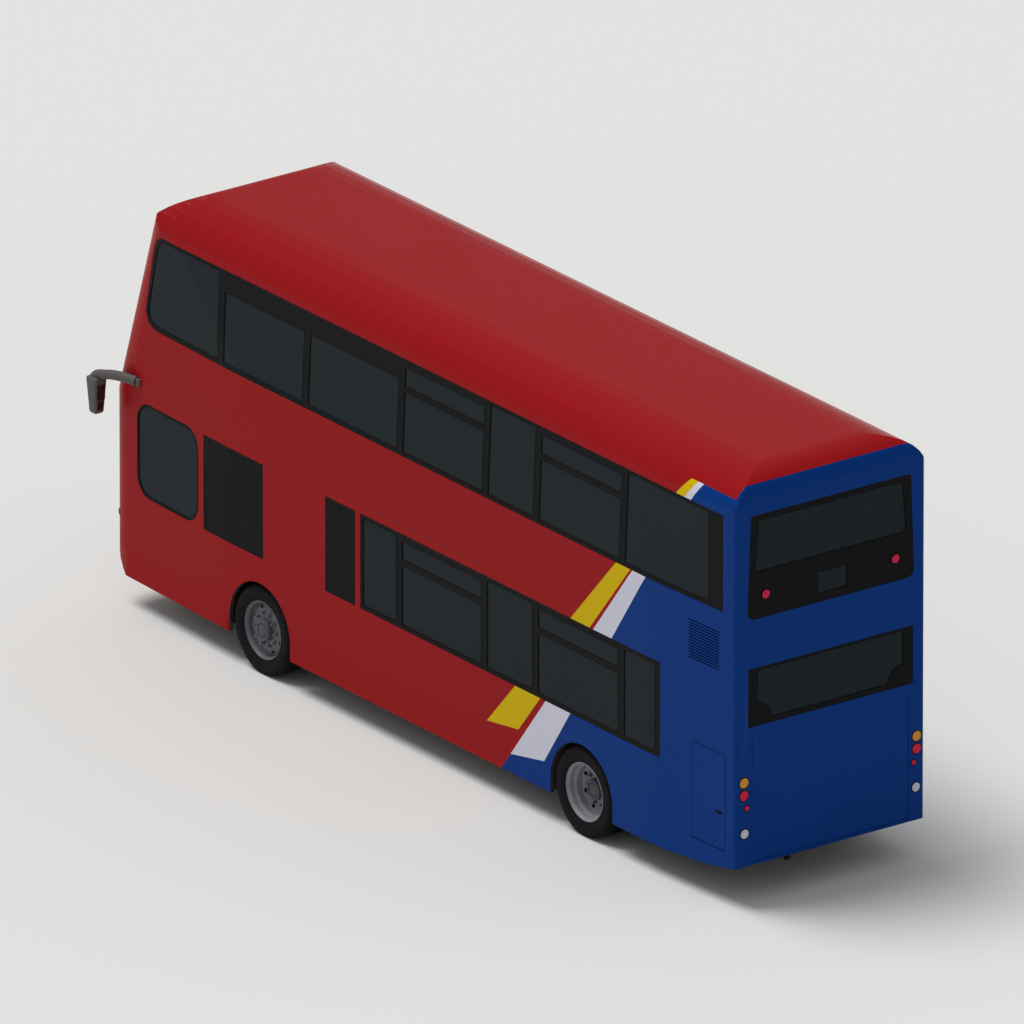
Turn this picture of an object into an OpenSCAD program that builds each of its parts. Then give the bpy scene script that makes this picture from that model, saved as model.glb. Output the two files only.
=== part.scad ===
// Double decker bus, left-hand drive, with its entrance on the right.
// X runs forward, Y to the left and Z up; the ground is Z = 0.

/* [Body] */
// Length of the bodywork, from the rear panel to the front panel
body_len = 10339; // [9600:1:11400]
// Width over the side panels at mid-length
body_w = 2426; // [2340:2:2560]
// Height of the roof's crown above the ground
body_h = 4484; // [4400:1:4700]
// Thickness of the side, front, rear and roof panels
wall = 45; // [30:1:60]
// Height of the skirt's lower edge
skirt_z = 306; // [270:1:340]
// Height of the skirt's lower edge at the rear corner
tail_z = 420; // [400:1:450]
// Width lost at each rear corner
rear_taper = 66; // [20:1:90]
// Width lost at each side by the windscreen
front_taper = 48; // [20:1:80]
// Lean of the upper screen, in degrees
screen_rake = 17.5; // [10:0.5:20]

/* [Decks] */
// Top of the low floor
floor_z = 400; // [390:1:420]
// Top of the raised floor above the rear axle
rear_floor_z = 740; // [740:1:780]
// Top of the upper deck floor
upper_floor_z = 2420; // [2400:1:2440]
// Thickness of each floor
floor_t = 40; // [30:1:50]
// Top of the shelf over the engine
shelf_z = 1790; // [1780:1:1840]
// Place of the wall ahead of the engine, from the rear panel
engine_bay = 1126; // [1050:1:1200]

/* [Windows] */
// Lower edge of the lower deck windows
low_win_z0 = 1244; // [1200:1:1300]
// Upper edge of the lower deck windows
low_win_z1 = 2245; // [2200:1:2300]
// Lower edge of the upper deck windows
up_win_z0 = 3062; // [3020:1:3100]
// Upper edge of the upper deck windows
up_win_z1 = 4071; // [4040:1:4100]
// Width of the black border round the panes
win_border = 44; // [30:1:50]
// Width of each post between two panes
post_w = 100; // [80:1:130]
// Height of the opening top light
hopper_h = 196; // [170:1:230]
// Thickness of the glass
glass_t = 6; // [5:1:8]

/* [Wheels] */
// Distance between the axles
wheelbase = 5324; // [5200:1:5450]
// Distance from the front panel to the front axle
front_overhang = 2582; // [2560:1:2620]
// Radius of the tyre
tyre_r = 466; // [440:1:480]
// Width of the tyre
tyre_w = 275; // [255:1:290]
// Distance from the middle to the outer tyre's middle plane
tyre_y = 1058; // [1050:1:1064]
// Space between the tyre and the wheel arch
arch_gap = 40; // [36:1:50]
// Radius of the rim's edge
rim_r = 301; // [290:1:310]
// Distance from the king pin to the tyre's middle plane
king_offset = 158; // [150:1:170]
// Radius of the wheel stud circle
stud_circle_r = 167.5; // [160:0.5:170]
// Radius of a wheel stud
stud_r = 11; // [9:0.5:12]

/* [Doors and lids] */
// Rear edge of the entrance, from the front panel
door_rear = 1640; // [1600:1:1680]
// Front edge of the entrance, from the front panel
door_front = 470; // [450:1:490]
// Upper edge of the entrance
door_z1 = 2290; // [2250:1:2320]
// Gap round a door or lid
door_gap = 6; // [6:0.5:9]
// Half width of the engine lid
lid_y = 951; // [900:1:960]
// Upper edge of the engine lid
lid_z1 = 1757; // [1700:1:1765]

/* [Fittings] */
// Reach of the mirror heads past the front panel
mirror_reach = 121; // [100:1:160]
// Distance that the rear lamps stand out
lamp_stand = 8; // [4:1:12]
// Radius of the hole in a towing eye
tow_r = 22; // [18:1:24]
// Thickness of a towing eye
tow_t = 30; // [24:1:36]
// Radius of a grab pole
pole_r = 16; // [14:1:18]

/* [Hidden] */
$fn = 48;

// The origin is on the ground at the middle of the whole length, mirrors and lamps included.
x_front = (body_len - mirror_reach + lamp_stand) / 2;
x_rear = x_front - body_len;
x_axle_f = x_front - front_overhang;
x_axle_r = x_axle_f - wheelbase;
half_w = body_w / 2;
inner_w = half_w - wall;
fit = 0.5;          // clearance where a piece seats against the body
run = 0.05;         // radial clearance of a shaft in its bore
far = 2000;         // reach of a cutting prism past the body

// Body outline
knee_z = 2960;      // the sides lean in above this height
lean_w = 48;        // width lost at each side from the knee to the window tops
cant_z = 4150;      // the roof panel starts here
crown_half = 560;   // half width of the flat crown
deck_z = 2380;      // the lower and upper side panels meet here
deck_t = 60;        // thickness of the upper deck floor with its beams
side_front = x_front - 393;    // the side and front panels meet here
side_rear = x_rear + 66;       // the side and rear panels meet here
rear_round = 40;
bow = 22;           // how far the front panel is bowed
screen_z = 2430;    // the upper screen starts to lean here
nose_back = 55;     // the front panel's lean at that height
arch_r = tyre_r + arch_gap;
lid_z0 = tail_z + 46;   // lower edge of the engine lid's opening

function bezier(a, b, c, d, n = 8) =
    [for (i = [0:n]) let (t = i / n)
        pow(1 - t, 3) * a + 3 * pow(1 - t, 2) * t * b + 3 * (1 - t) * t * t * c + pow(t, 3) * d];
function flipped(pts) = [for (i = [len(pts) - 1:-1:0]) [pts[i][0], -pts[i][1]]];

// Cross section in Y and Z, drawn as [z, y] so that flipped() mirrors it
function section_half(t) = concat(
    [[0, half_w - t], [knee_z, half_w - t]],
    bezier([up_win_z1, half_w - lean_w - t],
           [body_h - 209 - 0.6 * t, half_w - lean_w - 15 - t],
           [body_h - 14 - t, half_w - lean_w - 165 - 0.6 * t],
           [body_h - t, crown_half], 8));

// Outline seen from above, left half, from the rear to the nose
function nose_half(t) = concat(
    bezier([-380, half_w - front_taper - 5 - t], [-85, half_w - front_taper - 8 - t],
           [-12 - t, half_w - 103 - 0.6 * t], [-bow - t, half_w - 333], 8),
    [for (y = [half_w - 543:-210:180]) [-bow * pow(y / (half_w - 333), 2) - t, y]]);
function plan_half(t) =
    let (r = max(rear_round - t, 3), w_tail = half_w - rear_taper - t)
    concat([for (a = [180:-15:90]) [x_rear + t + r + r * cos(a), w_tail - r + r * sin(a)]],
           [[x_rear + 1355, half_w - t], [x_front - 1996, half_w - t],
            [x_front - 540, half_w - front_taper - t]],
           [for (p = nose_half(t)) [x_front + p[0], p[1]]]);

// Outline seen from the side, from the tail round to the nose
function tail_curve() = concat([[x_rear, lid_z0]],
    bezier([x_rear + 25, tail_z], [x_rear + 450, tail_z - 75],
           [x_rear + 900, skirt_z], [x_rear + 1360, skirt_z], 6));
function side_outline(t) = concat(
    t > 0 ? [[x_rear + t, 0], [x_front - 250 - t, 0]] : tail_curve(),
    [[x_front - 250 - t, skirt_z], [x_front - 33 - t, 582], [x_front - t, 800],
     [x_front - 13 - t, 1600], [x_front - nose_back - t, screen_z]],
    bezier([x_front - nose_back - (cant_z - screen_z) * tan(screen_rake) - t, cant_z],
           [x_front - 713 - t, body_h - 194 - 0.5 * t],
           [x_front - 873 - 0.5 * t, body_h - 64 - t], [x_front - 1053, body_h - t], 8),
    bezier([x_rear + 376, body_h - t], [x_rear + 126 + 0.5 * t, body_h - 9 - t],
           [x_rear + 26 + t, body_h - 84 - 0.5 * t], [x_rear + t, body_h - 284], 8));

// The body's outer shape, moved in by t
module envelope(t) {
    half = section_half(t);
    plan = plan_half(t);
    nose = nose_half(t);
    lean = [[-body_len - far, half_w + 20 - t], [-2600, half_w + 20 - t], [-540, half_w - front_taper - t]];
    intersection() {
        translate([x_rear - far, 0, 0]) rotate([90, 0, 90]) linear_extrude(body_len + 2 * far)
            polygon([for (p = concat(half, flipped(half))) [p[1], p[0]]]);
        linear_extrude(body_h + far) polygon(concat(plan, flipped(plan)));
        translate([0, far, 0]) rotate([90, 0, 0]) linear_extrude(2 * far)
            polygon(side_outline(t));
        translate([x_front - nose_back, 0, screen_z]) rotate([0, -screen_rake, 0])
            translate([0, 0, -2 * far]) linear_extrude(5 * far)
                polygon(concat(lean, nose, flipped(concat(lean, nose))));
    }
}

// The layer of the body between two depths, kept where the children are
module skin(t0, t1) {
    difference() {
        intersection() {
            envelope(t0);
            children();
        }
        envelope(t1);
    }
}

// Prisms through one side (s = 1 left, -1 right), the rear or the front
module through_side(s) {
    translate([0, s > 0 ? half_w + 200 : 300 - half_w, 0]) rotate([90, 0, 0])
        linear_extrude(500) children();
}
module through_rear() {
    translate([x_rear - 200, 0, 0]) rotate([90, 0, 90]) linear_extrude(500) children();
}
module through_front(depth = 1100) {
    translate([x_front - depth, 0, 0]) rotate([90, 0, 90]) linear_extrude(depth + 200) children();
}
module span(u0, u1, v0, v1) {
    translate([u0, v0]) square([u1 - u0, v1 - v0]);
}
// Rectangle with round corners, made of squares and circles
module pane(u0, u1, v0, v1, r) {
    span(u0 + r, u1 - r, v0, v1);
    span(u0, u1, v0 + r, v1 - r);
    for (u = [u0 + r, u1 - r], v = [v0 + r, v1 - r]) translate([u, v]) circle(r);
}
module block(x0, x1, y0, y1, z0, z1) {
    translate([x0, y0, z0]) cube([x1 - x0, y1 - y0, z1 - z0]);
}
module y_rod(r, y0, y1, x, z) {
    translate([x, y1, z]) rotate([90, 0, 0]) cylinder(r = r, h = y1 - y0);
}

// ---------------------------------------------------------------- windows
// Posts between the side panes, shared by both decks
posts = [x_rear + 8426, x_rear + 7008, x_rear + 5441, x_rear + 4036, x_rear + 3196, x_rear + 1786];
hopper_bays = [2, 4];          // bays behind this post have a top light
up_front_low = x_front - 608;  // front end of the upper band, at its lower edge
up_front_high = x_front - 763; // and at its upper edge
up_rear = x_rear + 200;
up_glass_rear = x_rear + 423;
low_front = x_front - 4257;    // front end of the lower band on the left
low_front_r = x_front - 1813;  // and on the right
low_rear = x_rear + 1161;
deep_header = 227;             // black header over the second and third upper panes
hopper_bar = 58;
driver_win = [x_front - 1540, x_front - 464];
panel_1 = [x_front - 2641, x_front - 1630];
panel_2 = [x_front - 4174, x_front - 3678];

module upper_band() {
    union() {
        span(up_rear, up_front_high - 100, up_win_z0, up_win_z1);
        polygon([[up_front_high - 300, up_win_z0], [up_front_low - 170, up_win_z0],
                 [up_front_low - 50, up_win_z0 + 50], [up_front_low, up_win_z0 + 170],
                 [up_front_high + 20, up_win_z1 - 140], [up_front_high - 30, up_win_z1 - 40],
                 [up_front_high - 130, up_win_z1], [up_front_high - 300, up_win_z1]]);
    }
}
module bay(x0, x1, z0, z1, hopper) {
    if (hopper) {
        pane(x0, x1, z0, z1 - hopper_h - hopper_bar, 12);
        pane(x0, x1, z1 - hopper_h, z1, 12);
    } else {
        pane(x0, x1, z0, z1, 12);
    }
}
module upper_panes() {
    z0 = up_win_z0 + win_border;
    z1 = up_win_z1 - win_border + 8;
    p = post_w / 2;
    polygon([[posts[0] + p, z0], [up_front_low - 190, z0], [up_front_low - 75, z0 + 40],
             [up_front_low - 40, z0 + 140], [up_front_high - 30, z1 - 120],
             [up_front_high - 75, z1 - 30], [up_front_high - 160, z1], [posts[0] + p, z1]]);
    for (i = [0:4]) {
        top = i < 2 ? up_win_z1 - deep_header : i == 2 || i == 4 ? up_win_z1 - 87 : z1;
        bay(posts[i + 1] + p, posts[i] - p, z0, top, i == 2 || i == 4);
    }
    pane(up_glass_rear, posts[5] - p, z0, z1, 12);
}
module lower_panes(front) {
    z0 = low_win_z0 + win_border;
    z1 = low_win_z1 - win_border;
    p = post_w / 2;
    if (front > posts[1]) {
        pane(posts[1] + p, front - win_border, z0, z1, 12);
        bay(posts[2] + p, posts[1] - p, z0, z1, false);
    } else {
        pane(posts[2] + p, front - win_border, z0, z1, 12);
    }
    bay(posts[3] + p, posts[2] - p, z0, low_win_z1 - 75, true);
    bay(posts[4] + p, posts[3] - p, z0, z1, false);
    bay(posts[5] + p, posts[4] - p, z0, low_win_z1 - 75, true);
    pane(low_rear + 82, posts[5] - p, z0, z1, 12);
}
module driver_outline(in) {
    pane(driver_win[0] + in, driver_win[1] - in, low_win_z0 + in, low_win_z1 - in, 215 - in);
}
// Rear window units, as [half width at the foot, half width at the top]
module rear_unit(low_half, high_half, z0, z1, r) {
    intersection() {
        pane(-low_half, low_half, z0, z1, r);
        polygon([[-low_half, z0], [low_half, z0], [high_half, z1], [-high_half, z1]]);
    }
}
rear_up_z = [up_win_z0 - 68, up_win_z1 + 6];
rear_low_z = [shelf_z + 86, 2485];
module rear_upper_panes() {
    rear_unit(917, 874, 3482, rear_up_z[1] - 64, 60);
    pane(-194, 159, 3083, 3307, 8);
}
module rear_lower_pane() {
    difference() {
        pane(-883, 883, rear_low_z[0] + 55, rear_low_z[1] - 29, 30);
        for (s = [-1, 1]) translate([s * 900, rear_low_z[0] + 30]) circle(200);
    }
}

// Where a side panel is open
module side_openings(s) {
    for (x = [x_axle_f, x_axle_r]) through_side(s) translate([x, tyre_r]) circle(arch_r, $fn = 96);
    through_side(s) span(x_axle_f - arch_r, x_axle_f + arch_r, 0, tyre_r);
    through_side(s) span(x_axle_r - arch_r, x_axle_r + arch_r, 0, tyre_r);
}

// ---------------------------------------------------------------- body panels
paint_red = [0.69, 0.13, 0.13];
paint_blue = [0.02, 0.24, 0.54];
black = [0.12, 0.115, 0.13];
glass = [0.2, 0.26, 0.3];

service_x = [x_rear + 161, x_rear + 685];
service_z = [568, 1582];
grille_x = [x_rear + 258, x_rear + 724];
grille_z = [2422, 2844];
louvres = 14;

module left_lower_side() {
    color(paint_red) difference() {
        skin(0, wall) block(side_rear, side_front, 300, half_w + 10, 0, deck_z);
        side_openings(1);
        through_side(1) driver_outline(0);
        through_side(1) span(panel_1[0], panel_1[1], low_win_z0, low_win_z1);
        through_side(1) span(panel_2[0], panel_2[1], low_win_z0, low_win_z1);
        through_side(1) span(low_rear, low_front, low_win_z0, low_win_z1);
        through_side(1) span(service_x[0], service_x[1], service_z[0], service_z[1]);
    }
}
module right_lower_side() {
    color(paint_red) difference() {
        skin(0, wall) block(side_rear, side_front, -half_w - 10, -300, 0, deck_z);
        side_openings(-1);
        through_side(-1) span(low_rear, low_front_r, low_win_z0, low_win_z1);
        through_side(-1) span(x_front - door_rear, x_front - door_front, floor_z, door_z1);
    }
}
// Region of the upper side panels: its front edge leans with the screen
module upper_region(s) {
    through_side(s) polygon([[side_rear, deck_z], [side_front, deck_z],
                             [side_front - 320, cant_z], [side_rear, cant_z]]);
}
module left_upper_side() {
    color(paint_red) difference() {
        skin(0, wall) upper_region(1);
        through_side(1) upper_band();
        for (i = [0:louvres - 1]) {
            z = grille_z[0] + 12 + i * (grille_z[1] - grille_z[0]) / louvres;
            through_side(1) span(grille_x[0], grille_x[1], z, z + 14);
        }
    }
}
module right_upper_side() {
    color(paint_red) difference() {
        skin(0, wall) upper_region(-1);
        through_side(-1) upper_band();
    }
}
// The roof is five panels that meet at cross seams
roof_panel = 2300;
roof_seams = [for (i = [0:3]) x_front - 1100 - i * roof_panel];
module roof() {
    color(paint_red) difference() {
        skin(0, wall) block(side_rear, x_front, -half_w, half_w, cant_z, body_h + 10);
        for (x = roof_seams) block(x, x + fit, -half_w, half_w, cant_z - 10, body_h + 10);
    }
}
wind_y = 1040;
wind_z = [1130, 2290];
up_screen_y = 1010;
up_screen_z = [2960, 4030];
display_y = 850;
display_z = [2450, 2800];
lamp_y = 850;
lamp_z = 700;
bumper_z = 600;
wiper_y = [-820, 60];
wiper_z = 1070;
wiper_r = 22;
module front_lower_panel() {
    color(paint_red) difference() {
        skin(0, wall) block(side_front, x_front + 10, -half_w, half_w, bumper_z, deck_z);
        through_front() pane(-wind_y, wind_y, wind_z[0], wind_z[1], 150);
        for (s = [-1, 1], k = [-1, 1])
            through_front() translate([s * (lamp_y + k * 95), lamp_z + 60]) circle(84 + fit);
        for (y = wiper_y) through_front() translate([y, wiper_z]) circle(wiper_r + fit);
    }
}
module front_upper_panel() {
    color(paint_red) difference() {
        skin(0, wall) intersection() {
            block(x_front - 1600, x_front + 10, -half_w, half_w, deck_z, cant_z);
            translate([0, far, 0]) rotate([90, 0, 0]) linear_extrude(2 * far)
                polygon([[side_front, deck_z], [x_front + 50, deck_z],
                         [x_front + 50, cant_z], [side_front - 320, cant_z]]);
        }
        through_front() pane(-up_screen_y, up_screen_y, up_screen_z[0], up_screen_z[1], 150);
        through_front() pane(-display_y, display_y, display_z[0], display_z[1], 30);
    }
}
rear_lamp_spots = [[1048, 1314, 52], [1048, 1181, 52], [1012, 1043, 27], [1041, 779, 47]];
module rear_panel() {
    color(paint_blue) difference() {
        skin(0, wall) block(x_rear - 10, side_rear, -half_w, half_w, 0, body_h);
        through_rear() rear_unit(1012, 971, rear_up_z[0], rear_up_z[1], 97);
        through_rear() pane(-1000, 1000, rear_low_z[0], rear_low_z[1], 20);
        through_rear() span(-lid_y, lid_y, lid_z0, lid_z1);
        for (p = rear_lamp_spots, s = [-1, 1])
            through_rear() translate([s * p[0], p[1]]) circle(p[2] + fit);
    }
}

// ---------------------------------------------------------------- frames and glass
frame_in = 3;       // frames sit this far inside the body's surface
frame_out = 40;     // and reach this deep
glass_in = 9;
module lower_window_frames() {
    color(black) {
        difference() {
            skin(frame_in, frame_out) through_side(1)
                span(low_rear, low_front, low_win_z0, low_win_z1);
            through_side(1) lower_panes(low_front);
        }
        difference() {
            skin(frame_in, frame_out) through_side(1) driver_outline(0);
            through_side(1) driver_outline(24);
        }
        skin(frame_in, frame_out) through_side(1)
            span(panel_1[0], panel_1[1], low_win_z0, low_win_z1);
        skin(frame_in, frame_out) through_side(1)
            span(panel_2[0], panel_2[1], low_win_z0, low_win_z1);
        difference() {
            skin(frame_in, frame_out) through_side(-1)
                span(low_rear, low_front_r, low_win_z0, low_win_z1);
            through_side(-1) lower_panes(low_front_r);
        }
        difference() {
            skin(frame_in, frame_out) through_rear()
                pane(-1000, 1000, rear_low_z[0], rear_low_z[1], 20);
            through_rear() rear_lower_pane();
        }
    }
}
module upper_window_frames() {
    color(black) {
        for (s = [-1, 1]) difference() {
            skin(frame_in, frame_out) through_side(s) upper_band();
            through_side(s) upper_panes();
        }
        difference() {
            skin(frame_in, frame_out) through_rear()
                rear_unit(1012, 971, rear_up_z[0], rear_up_z[1], 97);
            through_rear() rear_upper_panes();
            for (s = [-1, 1]) through_rear() translate([s * 786, 3228]) circle(48 + fit);
        }
    }
}
module lower_window_glass() {
    color(glass) {
        skin(glass_in, glass_in + glass_t) through_side(1) lower_panes(low_front);
        skin(glass_in, glass_in + glass_t) through_side(1) driver_outline(24);
        skin(glass_in, glass_in + glass_t) through_side(-1) lower_panes(low_front_r);
        skin(glass_in, glass_in + glass_t) through_rear() rear_lower_pane();
    }
}
module upper_window_glass() {
    color(glass) {
        for (s = [-1, 1])
            skin(glass_in, glass_in + glass_t) through_side(s) upper_panes();
        skin(glass_in, glass_in + glass_t) through_rear() rear_upper_panes();
    }
}
module windscreens() {
    color(glass) {
        skin(frame_in, frame_in + glass_t + 2) through_front()
            pane(-wind_y, wind_y, wind_z[0], wind_z[1], 150);
        skin(frame_in, frame_in + glass_t + 2) through_front()
            pane(-up_screen_y, up_screen_y, up_screen_z[0], up_screen_z[1], 150);
    }
}
module destination_display() {
    color(black) skin(frame_in, wall) through_front()
        pane(-display_y, display_y, display_z[0], display_z[1], 30);
}

// ---------------------------------------------------------------- front and rear fittings
module front_bumper() {
    color(paint_red) skin(0, wall)
        block(side_front, x_front + 10, -half_w, half_w, 0, bumper_z);
}
module headlamps() {
    color([0.85, 0.87, 0.9])
        for (s = [-1, 1], k = [-1, 1])
            skin(2, wall) through_front() translate([s * (lamp_y + k * 95), lamp_z + 60]) circle(84);
}
module rear_lamps() {
    for (p = rear_lamp_spots, s = [-1, 1])
        color([0.75, 0.1, 0.2]) translate([x_rear - lamp_stand, s * p[0], p[1]])
            rotate([0, 90, 0]) cylinder(r = p[2], h = wall);
    for (s = [-1, 1])
        color([0.75, 0.1, 0.2]) translate([x_rear - lamp_stand + 4, s * 786, 3228])
            rotate([0, 90, 0]) cylinder(r = 48, h = wall - 6);
}
// A lid or door turns on a thin rod that fills the gap along its hinged edge
hinge_r = door_gap / 2 - 0.3;
module engine_lid() {
    color(paint_blue) {
        block(x_rear + 2, x_rear + 38, -lid_y + door_gap, lid_y - door_gap,
              lid_z0 + door_gap, lid_z1 - door_gap);
        y_rod(hinge_r, -lid_y + door_gap, lid_y - door_gap, x_rear + 5, lid_z1 - door_gap / 2);
    }
}
// Half width of the body where the sides taper to the rear corner
function tail_y(x) = half_w - rear_taper * (x_rear + 1355 - x) / (1355 - rear_round);
module service_door() {
    color(paint_blue) {
        skin(2, 34) through_side(1)
            span(service_x[0] + door_gap, service_x[1] - door_gap,
                 service_z[0] + door_gap, service_z[1] - door_gap);
        translate([service_x[1] - door_gap / 2, tail_y(service_x[1]) - hinge_r - 0.3,
                   service_z[0] + door_gap])
            cylinder(r = hinge_r, h = service_z[1] - service_z[0] - 2 * door_gap);
    }
}

// Mirror: a thick arm from the front corner that curves down into a tall head
mirror_y = half_w + 87;
mirror_z = [1975, 2400];
mirror_r = 42;
module mirror_ball(at, r) {
    translate(at) sphere(r, $fn = 20);
}
module mirror_one() {
    tip_x = x_front + mirror_reach - mirror_r;
    arm = [[x_front - 505, half_w - 50, 2435], [x_front - 300, half_w + 15, 2444],
           [x_front - 90, half_w + 62, 2412], [tip_x, mirror_y, mirror_z[1] - 60]];
    for (i = [0:2]) hull() {
        mirror_ball(arm[i], 36);
        mirror_ball(arm[i + 1], 36);
    }
    hull() {
        for (y = [-38, 38], x = [-85, 0])
            mirror_ball([tip_x + x, mirror_y + y, mirror_z[1] - 110], mirror_r);
        for (y = [-24, 24], x = [-60, -30])
            mirror_ball([tip_x + x, mirror_y + y, mirror_z[0] + 34], 34);
        mirror_ball(arm[3], 36);
    }
}
module mirrors() {
    color([0.24, 0.24, 0.26]) for (m = [0, 1]) mirror([0, m, 0]) difference() {
        mirror_one();
        envelope(0);
    }
}

// Wipers: a pivot, an arm and a blade lying just ahead of the screen
module wiper_one(y) {
    translate([x_front - 60, y, wiper_z]) rotate([0, 90, 0]) cylinder(r = wiper_r, h = 82);
    translate([x_front + 2, y, wiper_z]) rotate([-32, 0, 0]) {
        translate([0, -12, -20]) cube([14, 24, 560]);
        translate([2, -8, 250]) cube([10, 16, 640]);
    }
}
module wipers() {
    color(black) for (y = wiper_y) wiper_one(y);
}

// ---------------------------------------------------------------- floors and chassis
box_in = 490;                // inner face of the front wheel boxes
box_half_f = tyre_r + 101;   // clear half length of a front wheel box, for the steered wheel
box_in_r = 583;
box_half_r = tyre_r + 64;
box_z = 2 * tyre_r + 58;     // clear height of a wheel box
box_t = 20;
step_x = x_axle_r + 940;     // the floor steps up here
bulk_x = x_rear + engine_bay;

module wheel_box(x, half, y_in, z_low, top) {
    for (s = [-1, 1]) difference() {
        block(x - half - box_t, x + half + box_t, min(s * (y_in - box_t), s * half_w),
              max(s * (y_in - box_t), s * half_w), z_low, top + box_t);
        block(x - half, x + half, min(s * y_in, s * (half_w + 9)),
              max(s * y_in, s * (half_w + 9)), z_low - 50, top);
    }
}
module lower_floor() {
    color([0.42, 0.42, 0.44]) intersection() {
        envelope(wall + fit);
        union() {
            difference() {
                union() {
                    block(step_x, x_front, -half_w, half_w, floor_z - floor_t, floor_z);
                    block(step_x - floor_t, step_x, -half_w, half_w, floor_z - floor_t,
                          rear_floor_z);
                    block(bulk_x, step_x, -half_w, half_w, rear_floor_z - floor_t, rear_floor_z);
                    block(bulk_x - floor_t, bulk_x, -half_w, half_w, rear_floor_z - floor_t,
                          shelf_z);
                    block(x_rear, bulk_x, -half_w, half_w, shelf_z - floor_t, shelf_z);
                }
                // room for the wheel boxes, which are let in with a small clearance
                for (s = [-1, 1]) mirror([0, s < 0 ? 1 : 0, 0]) {
                    block(x_axle_f - box_half_f - box_t - fit, x_axle_f + box_half_f + box_t + fit,
                          box_in - box_t - fit, half_w, 0, box_z);
                    block(x_axle_r - box_half_r - box_t - fit, x_axle_r + box_half_r + box_t + fit,
                          box_in_r - box_t - fit, half_w, 0, box_z);
                }
            }
            wheel_box(x_axle_f, box_half_f, box_in, floor_z - floor_t, box_z);
            wheel_box(x_axle_r, box_half_r, box_in_r, rear_floor_z - floor_t, box_z);
        }
    }
}

// Stairs rise forward on the left, over the front wheel
stair_x0 = x_front - 4163;
stair_y = [520, 1150];
risers = 9;
stair_rise = (upper_floor_z - floor_z) / risers;
stair_run = 230;
well_x = [stair_x0 + 400, stair_x0 + (risers - 1) * stair_run + 30];
module upper_floor() {
    color([0.42, 0.42, 0.44]) intersection() {
        envelope(wall + fit);
        difference() {
            block(x_rear, x_front, -half_w, half_w, upper_floor_z - deck_t, upper_floor_z);
            block(well_x[0], well_x[1], stair_y[0] - 20, half_w, 2000, upper_floor_z + 50);
        }
    }
}
module staircase() {
    t = 24;
    color([0.45, 0.45, 0.47]) intersection() {
        envelope(wall + fit);
        for (i = [0:risers - 2]) {
            x = stair_x0 + i * stair_run;
            z = floor_z + (i + 1) * stair_rise;
            block(x, x + stair_run + t, stair_y[0], stair_y[1], z - t, z);
            block(x, x + t, stair_y[0], stair_y[1], max(z - stair_rise - t, floor_z), z);
        }
    }
}

rail_y = [380, 450];
rail_z = [300, 360];
high_rail_z = [620, 700];
beam_z = [190, 290];
spring_r = 65;
spring_y = box_in + 25 + spring_r;    // 5 clear of its tower's plate
cradle_x = 380;
cradle_z = tyre_r - 6;       // top of the rear spring cradle, level with the axle
engine_x = [x_rear + 165, bulk_x - 100];
engine_y = 360;
eye_y = (rail_y[0] + rail_y[1]) / 2;
eye_r = tow_r + 24;
front_eye = [x_front - 350, eye_y, 262];
rear_eye = [x_rear + 150, eye_y, tail_z - 60];
// A flat lug on the left rail with a pin hole across the bus
module towing_eye(at, z_top) {
    difference() {
        union() {
            y_rod(eye_r, at[1] - tow_t / 2, at[1] + tow_t / 2, at[0], at[2]);
            block(at[0] - eye_r + 16, at[0] + eye_r - 16, at[1] - tow_t / 2, at[1] + tow_t / 2,
                  at[2], z_top + 1);
        }
        y_rod(tow_r, at[1] - tow_t, at[1] + tow_t, at[0], at[2]);
    }
}
module chassis_frame() {
    color([0.18, 0.18, 0.19]) {
        for (s = [-1, 1]) mirror([0, s < 0 ? 1 : 0, 0]) {
            block(step_x - 100, x_front - 300, rail_y[0], rail_y[1], rail_z[0], rail_z[1]);
            block(step_x - 170, step_x - floor_t - 1, rail_y[0], rail_y[1], rail_z[0],
                  high_rail_z[1]);
            block(x_rear + 120, step_x - floor_t - 1, rail_y[0], rail_y[1], high_rail_z[0],
                  high_rail_z[1]);
            // spring tower beside the wheel box
            block(x_axle_f - 80, x_axle_f + 80, rail_y[1] - 1, box_in + 20, rail_z[0], 330);
            block(x_axle_f - 80, x_axle_f + 80, box_in + 5, box_in + 20, rail_z[0], 700);
            block(x_axle_f - 80, x_axle_f + 80, box_in + 5, spring_y + 70, 670, 700);
        }
        // crossmembers and outriggers are bolted between and outside the rails
        for (x = [x_front - 420, x_axle_f + 700, x_axle_f - 700, x_axle_f - 1900, step_x + 200]) {
            block(x - 40, x + 40, -rail_y[0] + fit, rail_y[0] - fit, rail_z[0], rail_z[1]);
            for (s = [-1, 1]) mirror([0, s < 0 ? 1 : 0, 0])
                block(x - 40, x + 40, rail_y[1] + fit, half_w - 120, rail_z[0], rail_z[1]);
        }
        for (x = [step_x - 140, x_axle_r + 520, x_axle_r - 620, bulk_x - 55, x_rear + 135])
            block(x - 15, x + 15, -rail_y[0] + fit, rail_y[0] - fit, high_rail_z[0],
                  high_rail_z[1]);
        // engine mounts and towing eyes
        for (s = [-1, 1], x = [engine_x[0] + 100, engine_x[1] - 100])
            block(x - 40, x + 40, min(s * engine_y, s * rail_y[0]) - (s < 0 ? 1 : 0),
                  max(s * engine_y, s * rail_y[0]) + (s > 0 ? 1 : 0), high_rail_z[0],
                  high_rail_z[1]);
        towing_eye(front_eye, rail_z[0]);
        towing_eye(rear_eye, high_rail_z[0]);
    }
}

module engine_block() {
    color([0.3, 0.3, 0.32]) block(engine_x[0], engine_x[1], -engine_y, engine_y, 420, 1330);
}

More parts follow.
